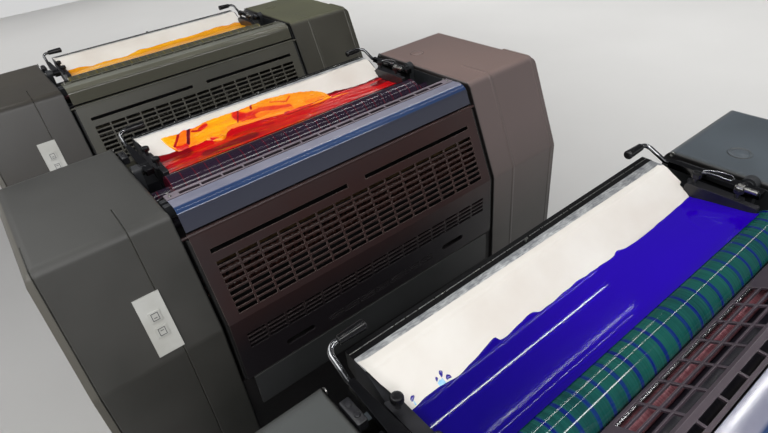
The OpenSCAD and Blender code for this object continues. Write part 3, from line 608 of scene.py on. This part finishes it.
# worn strip that clamps the liner along the rear of the duct, with one thumb screw behind it
strip = {"y0": 403, "y1": 431, "z0": -2.4, "z1": 0.6, "left": -389, "right": 387, "wireY": 442, "wireZ": 0.2,
         "wireR": 0.8, "screw": (-6, 436), "stem": [(1.6, 0), (1.6, 6)], "wing": (4.5, 1.6, 4, 8)}
for unit in units:
    bm = bmesh.new()
    addBlock(bm, (strip["left"], strip["y0"], strip["z0"]), (strip["right"], strip["y1"], strip["z1"]), 0.5)
    makePiece(unit + "_clamp_strip", bm, stripSteel, unit)
    bm = bmesh.new()
    addWire(bm, [(x, strip["wireY"], strip["wireZ"]) for x in (strip["left"], strip["right"])],
            strip["wireR"], 8)
    x, y = strip["screw"]
    halfX, halfY, foot, head = strip["wing"]
    addTurned(bm, (x, y, 0), "Z", strip["stem"], 12)
    addBlock(bm, (x - halfX, y - halfY, foot), (x + halfX, y + halfY, head), 1.0)
    makePiece(unit + "_bar_edge", bm, screwSteel, unit)
print("ducts lined")

# ink pools: level in front, a film on the liner behind, drawn up by the roller; each stroke is
# (points, half width, shade, height)
pool = {
    "half": 375.6, "spread": 1.5, "bedRows": 8, "bedFront": 223, "sink": 0.5,
    "blend": 1.6, "skewMm": 90, "calmFrom": 210, "calmOver": 30,
    "rollerRows": 6, "rollerGap": 1.0, "rollerFrom": -30, "rollerTurn": 84,
    "blue": {
        "ink": blueInk, "film": 2.2, "lip": 3.2, "fold": 0.003, "foldMm": (200, 120), "ragged": 1.3,
        "step": 4.0, "rows": 44, "shade": 0.5, "strokes": [
            # this wide first stroke paints the ink darker towards the left end: painted shade across the pool
            ([(-1200, 200), (-1200, 360)], 1100, 0.0, 0),
            ([(331, 327), (312, 308), (291, 292)], 2.4, 0.6, 0.5),
            ([(291, 292), (282, 272), (274, 256)], 3.2, 0.6, 0.4), ([(274, 256), (307, 243)], 3.0, 0.6, 0.3)],
        "level": [(208, -21.5), (215, -24.5), (225, -27), (240, -29), (265, -32), (290, -35), (315, -38.5),
                  (335, -42), (350, -43)],
        "rear": [(-376, 337), (-360, 335), (-318, 337), (-275, 333), (-223, 339), (-188, 343),
                 (-182, 336), (-137, 338), (-104, 340), (-89, 334), (1, 336), (58, 334), (111, 332),
                 (127, 336), (148, 330),
                 (191, 327), (259, 329), (313, 331), (376, 334)],
    },
    "red": {
        "ink": redInk, "film": 3.4, "lip": 4.5, "fold": 1.1, "foldMm": (70, 20), "ragged": 2.0,
        "step": 2.5, "rows": 44, "shade": 0.36,
        "level": [(208, -21), (213, -25), (220, -30), (230, -35), (244, -38), (262, -40), (300, -41.5),
                  (340, -43)],
        "rear": [(-376, 348), (-363, 348), (-341, 344), (-319, 343), (-250, 343), (-150, 346), (0, 346),
                 (120, 338), (187, 343), (263, 336), (318, 334), (370, 335), (376, 330)],
        "strokes": [
            ([(-362, 338), (-300, 324)], 24, 0.18, 0), ([(-250, 318), (-150, 300)], 22, 0.43, 0),
            ([(-250, 272), (-120, 276)], 20, 0.18, 0), ([(0, 300), (320, 288)], 42, 0.43, 0),
            ([(-60, 318), (60, 300)], 14, 0.40, 0.8), ([(-150, 318), (-40, 306)], 8, 0.30, 0),
            # the dark line along the rear edge and the dark groove are painted shade on the ink's thick edge
            # and in its crease
            ([(183, 340), (263, 334), (366, 330)], 5, 0.10, 0), ([(20, 322), (144, 312)], 2.5, 0.16, -0.8),
            ([(-360, 262), (-240, 250)], 10, 0.30, 0), ([(330, 296), (372, 300)], 16, 0.16, 0),
            ([(-128, 240), (-100, 241), (-64, 243), (-27, 240)], 3.2, 0.48, 2.4),
            ([(22, 233), (60, 231)], 2.2, 0.48, 1.6), ([(85, 231), (117, 232), (151, 229)], 2.6, 0.48, 1.8)],
    },
    "yellow": {
        "ink": yellowInk, "film": 3.4, "lip": 4.5, "fold": 1.2, "foldMm": (80, 26), "ragged": 2.0,
        "step": 4.0, "rows": 30, "shade": 0.5, "strokes": [],
        "level": [(208, -21), (213, -25), (220, -30), (230, -35), (244, -38), (262, -40), (300, -41),
                  (340, -42)],
        "rear": [(-376, 342), (-321, 344), (-287, 336), (-221, 338), (-142, 335), (-81, 347), (-47, 344),
                 (50, 346), (147, 345), (268, 351), (329, 346), (356, 349), (376, 343)],
    },
}


def poolRear(look, x, seed):
    return lineAt(look["rear"], x) + noise.noise(Vector((x / 22, seed, 0))) * look["ragged"]


def poolTop(look, x, y, rear, seed):
    away = min(max((rear - y) / look["lip"], 0.0), 1.0)
    film = look["film"] * sqrt(max(0.0, 1 - (1 - away) ** 2))
    foldX, foldY = look["foldMm"]
    fold = noise.fractal(Vector((x / foldX + y / pool["skewMm"], y / foldY, seed)), 0.7, 2.1, 4)
    calm = min(1.0, max(0.0, (y - pool["calmFrom"]) / pool["calmOver"])) * away
    level = softMax(linerHeight(y) + film, lineAt(look["level"], y), pool["blend"])
    return level + fold * look["fold"] * calm


# shade and height that the strokes leave at a point; a stroke fades out round its half width
def strokeAt(strokes, x, y, shade):
    rise = 0.0
    here = Vector((x, y))
    for points, wide, colour, high in strokes:
        near = 9e9
        for a, b in zip(points, points[1:]):
            a, b = Vector(a), Vector(b)
            along = min(1.0, max(0.0, (here - a).dot(b - a) / (b - a).length_squared))
            near = min(near, (here - a.lerp(b, along)).length)
        cover = min(1.0, max(0.0, 2.0 * (1.25 - near / wide)))
        cover = cover * cover * (3 - 2 * cover)
        shade += (colour - shade) * cover
        rise += high * cover
    return shade, rise


def addShades(piece, look, unit):
    shades = piece.data.attributes.new("shade", "FLOAT", "POINT")
    for i, vertex in enumerate(piece.data.vertices):
        place = (vertex.co - origin[unit]) / mm
        shades.data[i].value = strokeAt(look["strokes"], place.x, place.y, look["shade"])[0]


for seed, unit in enumerate(units):
    look = pool[unit]
    bm = bmesh.new()
    count = int(2 * pool["half"] / look["step"])
    rings = []
    for i in range(count + 1):
        x = -pool["half"] + 2 * pool["half"] * i / count
        rear = poolRear(look, x, seed * 5.1)
        front = look["level"][0][0]
        ring = []
        for j in range(look["rows"] + 1):
            y = front + (rear - front) * (1 - (1 - j / look["rows"]) ** pool["spread"])
            rise = strokeAt(look["strokes"], x, y, 0)[1]
            ring.append((x, y, poolTop(look, x, y, rear, seed * 3.7) + rise))
        for j in range(pool["bedRows"] + 1):
            y = rear + (pool["bedFront"] - rear) * j / pool["bedRows"]
            ring.append((x, y, linerHeight(y) - pool["sink"]))
        for j in range(pool["rollerRows"] + 1):
            turn = radians(pool["rollerFrom"] + pool["rollerTurn"] * j / pool["rollerRows"])
            reach = press["rollerR"] + pool["rollerGap"]
            ring.append((x, press["rollerY"] + reach * cos(turn), press["rollerZ"] + reach * sin(turn)))
        rings.append(ring)
    addRings(bm, rings)
    addShades(makePiece(unit + "_ink_pool", bm, look["ink"], unit, smooth=80), look, unit)

# knife strokes laid on the liner and the pool: front and rear outline, and how thick
stroke = {"unit": "blue", "ink": blueInk, "thick": 1.2, "fold": 0.1, "foldMm": (30, 12), "lip": 1.5,
          "step": 1.0, "rows": 14, "shade": 0.1, "strokes": []}
wash = {**stroke, "ink": thinBlue, "thick": 0.5}
smears = {
    "red_ink_smear": {
        "unit": "red", "ink": orangeInk, "thick": 6.5, "fold": 1.8, "foldMm": (60, 12), "lip": 7,
        "step": 1.8, "rows": 34, "shade": 0.84,
        "front": [(-331, 385), (-326, 366), (-317, 349), (-309, 336), (-279, 336), (-253, 335), (-221, 335),
                  (-200, 322), (-185, 320), (-168, 334), (-152, 341), (-98, 340), (-40, 335), (35, 328),
                  (99, 325), (150, 320), (181, 322)],
        "rear": [(-331, 388), (-287, 384), (-265, 387), (-241, 383), (-194, 389), (-156, 389), (-106, 388),
                 (-60, 389), (-7, 391), (55, 385), (114, 373), (160, 358), (174, 345), (181, 330)],
        # the darkest strokes, laid in the cuts and grooves and on the steep sides of the folds, are painted
        # shade
        "strokes": [
            ([(-330, 380), (-312, 362)], 12, 0.97, 0),
            ([(-268, 385), (-283, 362), (-293, 348)], 10, 0.70, 0),
            ([(-306, 344), (-294, 340), (-283, 342)], 6, 0.52, 1.5),
            ([(-240, 352), (-190, 352)], 12, 0.92, 0), ([(-180, 376), (-125, 368)], 18, 0.93, 0),
            ([(-250, 381), (-222, 383), (-195, 388)], 2.5, 0.66, 0.6),
            ([(-226, 371), (-205, 377)], 5, 0.48, 0.8), ([(-248, 374), (-228, 368)], 2.4, 0.34, 0),
            ([(-279, 387), (-298, 364), (-311, 352)], 3.0, 0.26, -1.2),
            ([(-247, 392), (-262, 369), (-275, 347)], 4.2, 0.06, 1.6),
            ([(-217, 337), (-200, 330), (-188, 330)], 8, 0.84, 2.4),
            ([(-213, 336), (-197, 331)], 3.6, 0.46, -2.0),
            ([(-112, 372), (-88, 352), (-72, 346)], 15, 0.50, -0.6), ([(-98, 386), (-66, 381)], 5, 0.80, 0),
            ([(-98, 390), (-121, 354)], 2.0, 0.20, -1.4), ([(-57, 391), (-64, 376)], 3.0, 0.24, 1.2),
            ([(-84, 362), (-43, 366), (0, 357), (46, 345)], 6.5, 0.55, -0.8),
            ([(-60, 352), (-20, 348), (49, 338)], 5, 0.72, 1.0),
            ([(-1, 377), (44, 362), (64, 373)], 2.0, 0.58, -1.6),
            ([(-154, 348), (-100, 345), (-41, 340), (31, 333)], 4.5, 0.80, 2.2),
            ([(-150, 341), (-60, 334), (19, 328)], 2.2, 0.26, -1.2),
            ([(19, 331), (80, 329), (150, 326)], 2.4, 0.36, -1.0),
            ([(100, 340), (160, 336)], 4, 0.74, 0.8)],
    },
    "red_ink_streak": {
        "unit": "red", "ink": orangeInk, "thick": 2.0, "fold": 0.4, "foldMm": (30, 12), "lip": 4,
        "step": 3.0, "rows": 22, "shade": 0.74, "strokes": [],
        "front": [(178, 312), (212, 313), (236, 306)], "rear": [(178, 322), (212, 321), (236, 310)],
    },
}
splashes = {
    "blue_ink_stroke_1": (stroke, [(-300, 343), (-297, 344), (-293, 348)],
                          [(-300, 349), (-297, 352), (-293, 350)]),
    "blue_ink_stroke_2": (stroke, [(-310, 342), (-308, 343), (-305, 345)],
                          [(-310, 345), (-308, 348), (-305, 347)]),
    "blue_ink_stroke_3": (stroke, [(-295, 337), (-291, 337), (-286, 336)],
                          [(-295, 340), (-291, 343), (-286, 340)]),
    "blue_ink_stroke_4": (stroke, [(-359, 341), (-355, 342), (-350, 345)],
                          [(-359, 345), (-355, 348), (-350, 347)]),
    "blue_ink_wash_1": (wash, [(-311, 334), (-305, 334), (-298, 335)],
                          [(-311, 341), (-303, 345), (-298, 346)]),
    "blue_ink_wash_2": (wash, [(-366, 333), (-361, 334), (-354, 336)],
                          [(-366, 337), (-361, 342), (-354, 343)]),
}
for name, (look, front, rear) in splashes.items():
    smears[name] = {**look, "front": front, "rear": rear}
for seed, (name, look) in enumerate(smears.items()):
    below = pool[look["unit"]]
    bm = bmesh.new()
    x0, x1 = look["front"][0][0], look["front"][-1][0]
    count = max(8, int((x1 - x0) / look["step"]))
    rings = []
    for i in range(count + 1):
        x = x0 + (x1 - x0) * i / count
        front, rear = lineAt(look["front"], x), lineAt(look["rear"], x)
        rear += noise.noise(Vector((x / 12, seed, 2))) * min(2.0, look["thick"] * 0.5)
        top, bottom = [], []
        for j in range(look["rows"] + 1):
            y = front + (rear - front) * j / look["rows"]
            away = min(1.0, (y - front) / look["lip"], (rear - y) / look["lip"],
                       (x - x0) / look["lip"] + 0.02, (x1 - x) / look["lip"] + 0.02)
            swell = sqrt(max(0.0, 1 - (1 - max(away, 0.0)) ** 2))
            fold = noise.fractal(Vector((x / look["foldMm"][0] - y / 40, y / look["foldMm"][1], seed + 9)),
                                 0.6, 2.1, 4)
            under = linerHeight(y)
            if y < poolRear(below, x, units.index(look["unit"]) * 5.1):
                under = max(under, lineAt(below["level"], y))
            rise = strokeAt(look["strokes"], x, y, 0)[1]
            top.append((x, y, under + swell * (look["thick"] * 0.75 + fold * look["fold"] + rise)))
            bottom.append((x, y, linerHeight(y) - 0.4))
        rings.append(top + bottom[::-1])
    addRings(bm, rings)
    addShades(makePiece(name, bm, look["ink"], look["unit"], smooth=80), look, look["unit"])
print("ink laid")

# thumb knobs: ribbed grips round the knobs on the duct's end plates
knob = {"x": 387, "ys": (335, 255), "r": 9.7, "ribs": 26, "ribDeep": 0.8}
for unit in units:
    bm = bmesh.new()
    for side in (-1, 1):
        for y in knob["ys"]:
            addTurned(bm, (side * knob["x"], y, 0), "Z",
                      [(knob["r"] - 1, -1.5), (knob["r"], 0), (knob["r"], 8), (knob["r"] - 1.2, 10),
                       (knob["r"] - 3, 10.6), (knob["r"] - 4, 10.2)], 2 * knob["ribs"], knob["ribDeep"])
    makePiece(unit + "_knob_grips", bm, gripPlastic, unit, smooth=30)

# small fittings beside the duct: wire bail, stop screw with its knurled wheel, latch block
fitting = {
    "bail": [(389, 328, 11.5), (391, 318, 14), (392, 300, 15), (391, 284, 14), (394, 276, 13), (404, 274, 13),
             (411, 282, 14), (408, 300, 15), (402, 320, 14), (396, 328, 12)],
    "bailR": 1.2, "screwX": 388, "screwY": 224, "screwZ": 9, "wheelY": 248, "wheelCut": 0.7,
    "screwRod": [(4, 0), (5, 1), (5, 22), (3, 22.5), (3, 40)],
    "latch": ((-447, 342, -22), (-431, 388, -3)), "latchX": -439, "latchBolts": (355, 376),
}
for unit in units:
    bm = bmesh.new()
    addWire(bm, fitting["bail"], fitting["bailR"], 10, loop=True)
    makePiece(unit + "_wire_bail", bm, brightSteel, unit)
    bm = bmesh.new()
    addTurned(bm, (fitting["screwX"], fitting["screwY"], fitting["screwZ"]), "Y", fitting["screwRod"])
    addTurned(bm, (fitting["screwX"], fitting["wheelY"], fitting["screwZ"]), "Y",
              [(7, 0), (8, 1), (8, 11), (7, 12)], 36, fitting["wheelCut"])
    makePiece(unit + "_stop_screw", bm, screwSteel, unit)
    bm = bmesh.new()
    addBlock(bm, *fitting["latch"], 1.5)
    for y in fitting["latchBolts"]:
        addTurned(bm, (fitting["latchX"], y, -4), "Z", [(4.5, 0), (4.5, 3), (3.6, 4)], 18)
    makePiece(unit + "_latch_block", bm, endPlateBlack, unit)

# screws on the top guard's rails and on the side walls
screw = {
    "top": [(-424, 61, 4.0), (424, 61, 4.0), (-424, 78, 3.4), (424, 78, 3.4)],
    "wall": [(254, -6), (418, -6), (300, -20)], "wallX": 450.5,
}
for unit in units:
    bm = bmesh.new()
    for x, y, r in screw["top"]:
        addTurned(bm, (x, y, -0.5), "Z",
                  [(r, 0), (r, 2.2), (r * 0.85, 2.9), (r * 0.5, 2.9), (r * 0.45, 1.6)], 18)
    for side in (-1, 1):
        for y, z in screw["wall"]:
            addTurned(bm, (side * screw["wallX"], y, z), "X",
                      [(6, 0), (6, -side * 2.2), (5, -side * 3.0), (3, -side * 3.0), (2.7, -side * 1.6)], 18)
    makePiece(unit + "_screws", bm, screwSteel, unit)

# round cover plug on the drive side housing, with a groove round it
plug = {"x": 531, "y": 318, "r": 24}
for unit in units:
    bm = bmesh.new()
    r = plug["r"]
    addTurned(bm, (plug["x"], plug["y"], -0.5), "Z",
              [(r, 0), (r, 1.6), (r - 1, 2.4), (r - 4, 2.6), (r - 5, 1.6), (r - 6.5, 1.6),
               (r - 7.5, 2.4), (3, 2.8)], 48)
    makePiece(unit + "_cover_plug", bm, coverEnamel[unit], unit)

# the drive side's housing is one closed skin: flush bands lie over the two seams of its front
band = {"xs": (540, 724), "half": 6.0, "taper": 2.2, "rise": 0.04, "sink": 0.1, "rear": 113, "low": -1424,
        "radii": (0, 26, 40, 0)}


def roundedPath(corners, radii, steps=9):
    path = []
    for i, corner in enumerate(corners):
        p = Vector(corner)
        if not radii[i]:
            path.append(p)
            continue
        a, b = (Vector(corners[i - 1]) - p).normalized(), (Vector(corners[i + 1]) - p).normalized()
        half = a.angle(b) / 2
        centre = p + (a + b).normalized() * radii[i] / sin(half)
        start, end = p + a * radii[i] / tan(half) - centre, p + b * radii[i] / tan(half) - centre
        turn = start.angle(end)
        for k in range(steps + 1):
            t = k / steps
            path.append(centre + (start * sin((1 - t) * turn) + end * sin(t * turn)) / sin(turn))
    return path


for unit in units:
    bm = bmesh.new()
    path = roundedPath([(band["rear"], 0), (0, 0), (-press["frontOut"], -press["frontDrop"]),
                        (-press["frontOut"], band["low"])], band["radii"])
    for x in band["xs"]:
        rings = []
        for i, p in enumerate(path):
            way = (path[min(i + 1, len(path) - 1)] - path[max(i - 1, 0)]).normalized()
            out = Vector((way.y, -way.x))
            ring = []
            for across, rise in ((-1, -band["sink"]), (-1, 0), (-1, 1), (1, 1), (1, 0), (1, -band["sink"])):
                reach = band["half"] - (band["taper"] if rise == 1 else 0)
                q = p + out * (band["rise"] * rise if rise == 1 else min(rise, 0))
                ring.append((x + across * reach, q.x, q.y))
            rings.append(ring)
        addRings(bm, rings)
    makePiece(unit + "_cover_bands", bm, coverEnamel[unit], unit, smooth=30)

# the caps rolled smooth, so that the lamp's line runs clean along them
cap = {"rear": 46, "low": -53, "radius": 30, "thick": 1.6, "steps": 48}
for unit in units:
    bm = bmesh.new()
    foot = press["frontOut"] / press["frontDrop"] * cap["low"]
    path = roundedPath([(cap["rear"], 0), (0, 0), (foot, cap["low"])], (0, cap["radius"], 0), cap["steps"])
    outer, inner = [], []
    for i, p in enumerate(path):
        way = (path[min(i + 1, len(path) - 1)] - path[max(i - 1, 0)]).normalized()
        outer.append(p)
        inner.append(p - Vector((way.y, -way.x)) * cap["thick"])
    rings = [[(x, p.x, p.y) for p in outer + inner[::-1]] for x in (-press["guardHalf"], press["guardHalf"])]
    addRings(bm, rings)
    piece = makePiece(unit + "_rolled_cap", bm, capEnamel[unit], unit)
    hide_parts(unit + "_front_cap")

# rod under the top guard, seen through its second row of slots
rod = {"y": 137, "z": -40, "r": 2.6, "half": 447}
for unit in units:
    bm = bmesh.new()
    addTurned(bm, (-rod["half"], rod["y"], rod["z"]), "X", [(rod["r"], 0), (rod["r"], 2 * rod["half"])], 16)
    makePiece(unit + "_guard_rod", bm, brightSteel, unit)

# behind the front guard: a tarnished bar and three shafts with close collars
works = {
    "barLow": (-440, -27, -163), "barHigh": (440, -15, -151),
    "shafts": [(-30, -182), (-31, -205), (-32, -228)], "half": 440, "r": 6, "collarR": 9.5, "pitch": 19.0,
}
for unit in units:
    bm = bmesh.new()
    addBlock(bm, works["barLow"], works["barHigh"], 2)
    makePiece(unit + "_inner_bar", bm, innerBar[unit], unit)
    bm = bmesh.new()
    for y, z in works["shafts"]:
        profile = []
        reach = 0.0
        a, b = works["r"], works["collarR"]
        while reach < 2 * works["half"] - works["pitch"]:
            for r, share in ((a, 0), (a, 0.3), (b * 0.94, 0.36), (b, 0.45), (b, 0.75), (b * 0.94, 0.84),
                             (a, 0.9)):
                profile.append((r, reach + works["pitch"] * share))
            reach += works["pitch"]
        addTurned(bm, (-works["half"], y, z), "X", profile, 16)
    makePiece(unit + "_inner_shafts", bm, worksBronze[unit], unit)

# louvres behind the guard's second grille and rubber seals along its sides
louvre = {"pitch": 8.0, "thick": 1.6, "half": 402, "y": (-100.5, -93), "z": (-379, -322)}
seal = {"thick": 7.0, "deep": 16.0, "start": 75, "short": 4, "out": 0.6, "round": 2.5}
for unit in units:
    bm = bmesh.new()
    count = int(2 * louvre["half"] / louvre["pitch"])
    for i in range(count + 1):
        x = -louvre["half"] + i * louvre["pitch"]
        addBlock(bm, (x - louvre["thick"] / 2, louvre["y"][0], louvre["z"][0]),
                 (x + louvre["thick"] / 2, louvre["y"][1], louvre["z"][1]), 0.3)
    makePiece(unit + "_guard_louvres", bm, innerBlack, unit, unit + "_front_guard")
    bm = bmesh.new()
    slope = Vector((-press["frontOut"], -press["frontDrop"])).normalized()
    line = [slope * seal["start"], Vector((-press["frontOut"], -press["frontDrop"])),
            Vector((-press["frontOut"], -press["guardLow"] + seal["short"]))]
    for side in (-1, 1):
        x0, x1 = side * (press["guardHalf"] - 0.5), side * (press["guardHalf"] + seal["thick"])
        rings = []
        for p in line:
            y, z = p.x + seal["out"], p.y
            rings.append([(x0, y, z), (x1 - side * 2, y, z), (x1, y + seal["round"], z),
                          (x1, y + seal["deep"], z), (x0, y + seal["deep"], z)])
        addRings(bm, rings)
    makePiece(unit + "_guard_seals", bm, sealRubber, unit, unit + "_front_guard")
print("guards fitted")

# generic marks on the push buttons: a raised frame and a short bar
button = {"x": 564, "start": 141, "first": 38, "pitch": 36, "size": 24, "rise": 8.6, "thick": 0.8,
          "frame": [(0, -8, 15, 1.4), (0, 8, 15, 1.4), (-7, 0, 1.4, 16), (7, 0, 1.4, 16)],
          "bars": [(0, 2.5, 7, 1.6), (0, -2.5, 7, 1.6)]}
slope = Vector((0, -press["frontOut"], -press["frontDrop"])).normalized()
outward = Vector((0, -press["frontDrop"], press["frontOut"])).normalized()
for unit in units:
    bm = bmesh.new()
    for k, bar in enumerate(button["bars"]):
        middle = button["start"] + button["first"] + k * button["pitch"] + button["size"] / 2
        for cx, cy, w, h in button["frame"] + [bar]:
            rings = []
            for rise in (button["rise"] - button["thick"], button["rise"]):
                ring = []
                for sx, sy in ((-1, -1), (1, -1), (1, 1), (-1, 1)):
                    point = slope * (middle + cy + sy * h / 2) + outward * rise
                    point.x = -button["x"] + cx + sx * w / 2
                    ring.append(point)
                rings.append(ring)
            addRings(bm, rings)
    makePiece(unit + "_button_marks", bm, markPlastic, unit)

# tread studs on the footboards: lozenges in two directions
tread = {"pitch": 34, "long": 13, "wide": 3.2, "high": 1.6, "sink": 0.4, "edge": 26}
low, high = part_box("footboards")
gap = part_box("red_drive_cover")[0].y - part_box("blue_drive_cover")[1].y
bm = bmesh.new()
for k in range(2):
    y0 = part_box(units[k] + "_drive_cover")[1].y / mm + tread["edge"]
    y1 = y0 + gap / mm - 2 * tread["edge"]
    x0, x1 = low.x / mm + tread["edge"], high.x / mm - tread["edge"]
    for i in range(int((x1 - x0) / tread["pitch"]) + 1):
        for j in range(int((y1 - y0) / tread["pitch"]) + 1):
            turn = radians(45 if (i + j) % 2 else -45)
            centre = Vector((x0 + i * tread["pitch"], y0 + j * tread["pitch"], high.z / mm - tread["sink"]))
            rings = []
            for scale, rise in ((1.0, 0.0), (1.0, tread["high"] * 0.5), (0.6, tread["high"])):
                ring = []
                for a, b in ((-1, 0), (-0.4, -1), (0.4, -1), (1, 0), (0.4, 1), (-0.4, 1)):
                    px, py = a * tread["long"] * scale, b * tread["wide"] * scale
                    ring.append(centre + Vector((px * cos(turn) - py * sin(turn),
                                                 px * sin(turn) + py * cos(turn), rise)))
                rings.append(ring)
            addRings(bm, rings)
bmesh.ops.transform(bm, matrix=Matrix.Scale(mm, 4), verts=bm.verts)
makePiece("tread_studs", bm, treadSteel)
print("treads laid")

# floor and soft studio light
floorLook = {"half": 11.0, "cells": 6, "colour": "#dcdbd8", "soil": "#d2d1ce"}
bm = bmesh.new()
cells, half = floorLook["cells"], floorLook["half"]
step = 2 * half / cells
grid = [[bm.verts.new((-half + i * step, -half + j * step, 0)) for j in range(cells + 1)]
        for i in range(cells + 1)]
for i in range(cells):
    for j in range(cells):
        bm.faces.new((grid[i][j], grid[i + 1][j], grid[i + 1][j + 1], grid[i][j + 1]))
floorMesh = bpy.data.meshes.new("floor")
bm.to_mesh(floorMesh)
bm.free()
floorPiece = bpy.data.objects.new("floor", floorMesh)
bpy.context.scene.collection.objects.link(floorPiece)
material, tree, shader, spot = startMaterial("sealed screed, pale", {"Roughness": 0.7, "IOR": 1.45})
cloud = addNode(tree, "TexNoise", {"Scale": 0.8, "Detail": 4.0}, {"Vector": spot})
tint = addNode(tree, "MixRGB", {"Color1": fromHex(floorLook["colour"]), "Color2": fromHex(floorLook["soil"])},
               {"Fac": cloud})
tree.links.new(tint, shader.inputs["Base Color"])
floorMesh.materials.append(material)

# world: pale round the horizon and greyer overhead, so wet ink stays deep
studio = {"horizon": "#dcdcdc", "above": "#5a5a5e", "rise": (0.0, 0.22), "strength": 0.9}
world = bpy.data.worlds.new("studio")
bpy.context.scene.world = world
world.use_nodes = True
tree = world.node_tree
way = addNode(tree, "TexCoord", out="Generated")
height = addNode(tree, "SeparateXYZ", None, {0: way}, 2)
share = addNode(tree, "MapRange", {"From Min": studio["rise"][0], "From Max": studio["rise"][1]},
                {"Value": height})
sky = addNode(tree, "MixRGB", {"Color1": fromHex(studio["horizon"]), "Color2": fromHex(studio["above"])},
              {"Fac": share})
background = tree.nodes["Background"]
background.inputs[1].default_value = studio["strength"]
tree.links.new(sky, background.inputs[0])

# lamps: (name, place from the middle of the row, size, power, what it aims at); without an aim a
# lamp looks straight down. The thin tubes are the lines on wet ink and on the rolled caps
lamps = [
    ("tube_near", (2.17, 1.075, 4.2), (1.96, 0.036), 10, None),
    ("tube_far", (2.18, 1.583, 4.2), (2.39, 0.007), 3, None),
    ("tube_roller", (2.2, -0.8, 4.3), (4.4, 0.03), 14, None),
    ("tube_cap", (1.25, -3.10, 4.3), (2.8, 0.26), 46, None),
    ("top_soft", (-2.2, -1.3, 4.6), (3.2, 2.4), 80, (0, -0.9, 1.4)),
    ("key_soft", (-1.4, -3.8, 4.2), (3.0, 2.0), 84, (0, 0, 0.9)),
    ("far_soft", (-1.5, 1.7, 3.7), (2.4, 1.4), 30, (0.1, 1.1, 1.4)),
    ("floor_right", (6.5, 3.0, 5.0), (6.6, 9.0), 170, None),
    ("floor_rear", (1.0, 8.4, 5.0), (14.0, 6.0), 210, None),
    ("floor_left", (-7.0, 0.0, 5.0), (7.0, 20.0), 260, None),
    ("floor_front", (1.0, -8.2, 5.0), (9.0, 6.0), 130, None),
]
floorSpread = 70
for name, place, size, power, aim in lamps:
    onFloor = name.startswith("floor")
    data = bpy.data.lights.new(name, "AREA")
    data.shape = "RECTANGLE"
    data.size, data.size_y = size
    data.energy = power
    # the floor's own lamps reach only the floor round the press
    data.spread = radians(floorSpread if onFloor else 180)
    lamp = bpy.data.objects.new(name, data)
    bpy.context.scene.collection.objects.link(lamp)
    lamp.location = place
    lamp.visible_glossy = not onFloor
    way = Vector(aim or (place[0], place[1], 0)) - Vector(place)
    lamp.rotation_euler = way.to_track_quat("-Z", "Y").to_euler()
bpy.context.scene.view_settings.view_transform = "Standard"
print("lit")
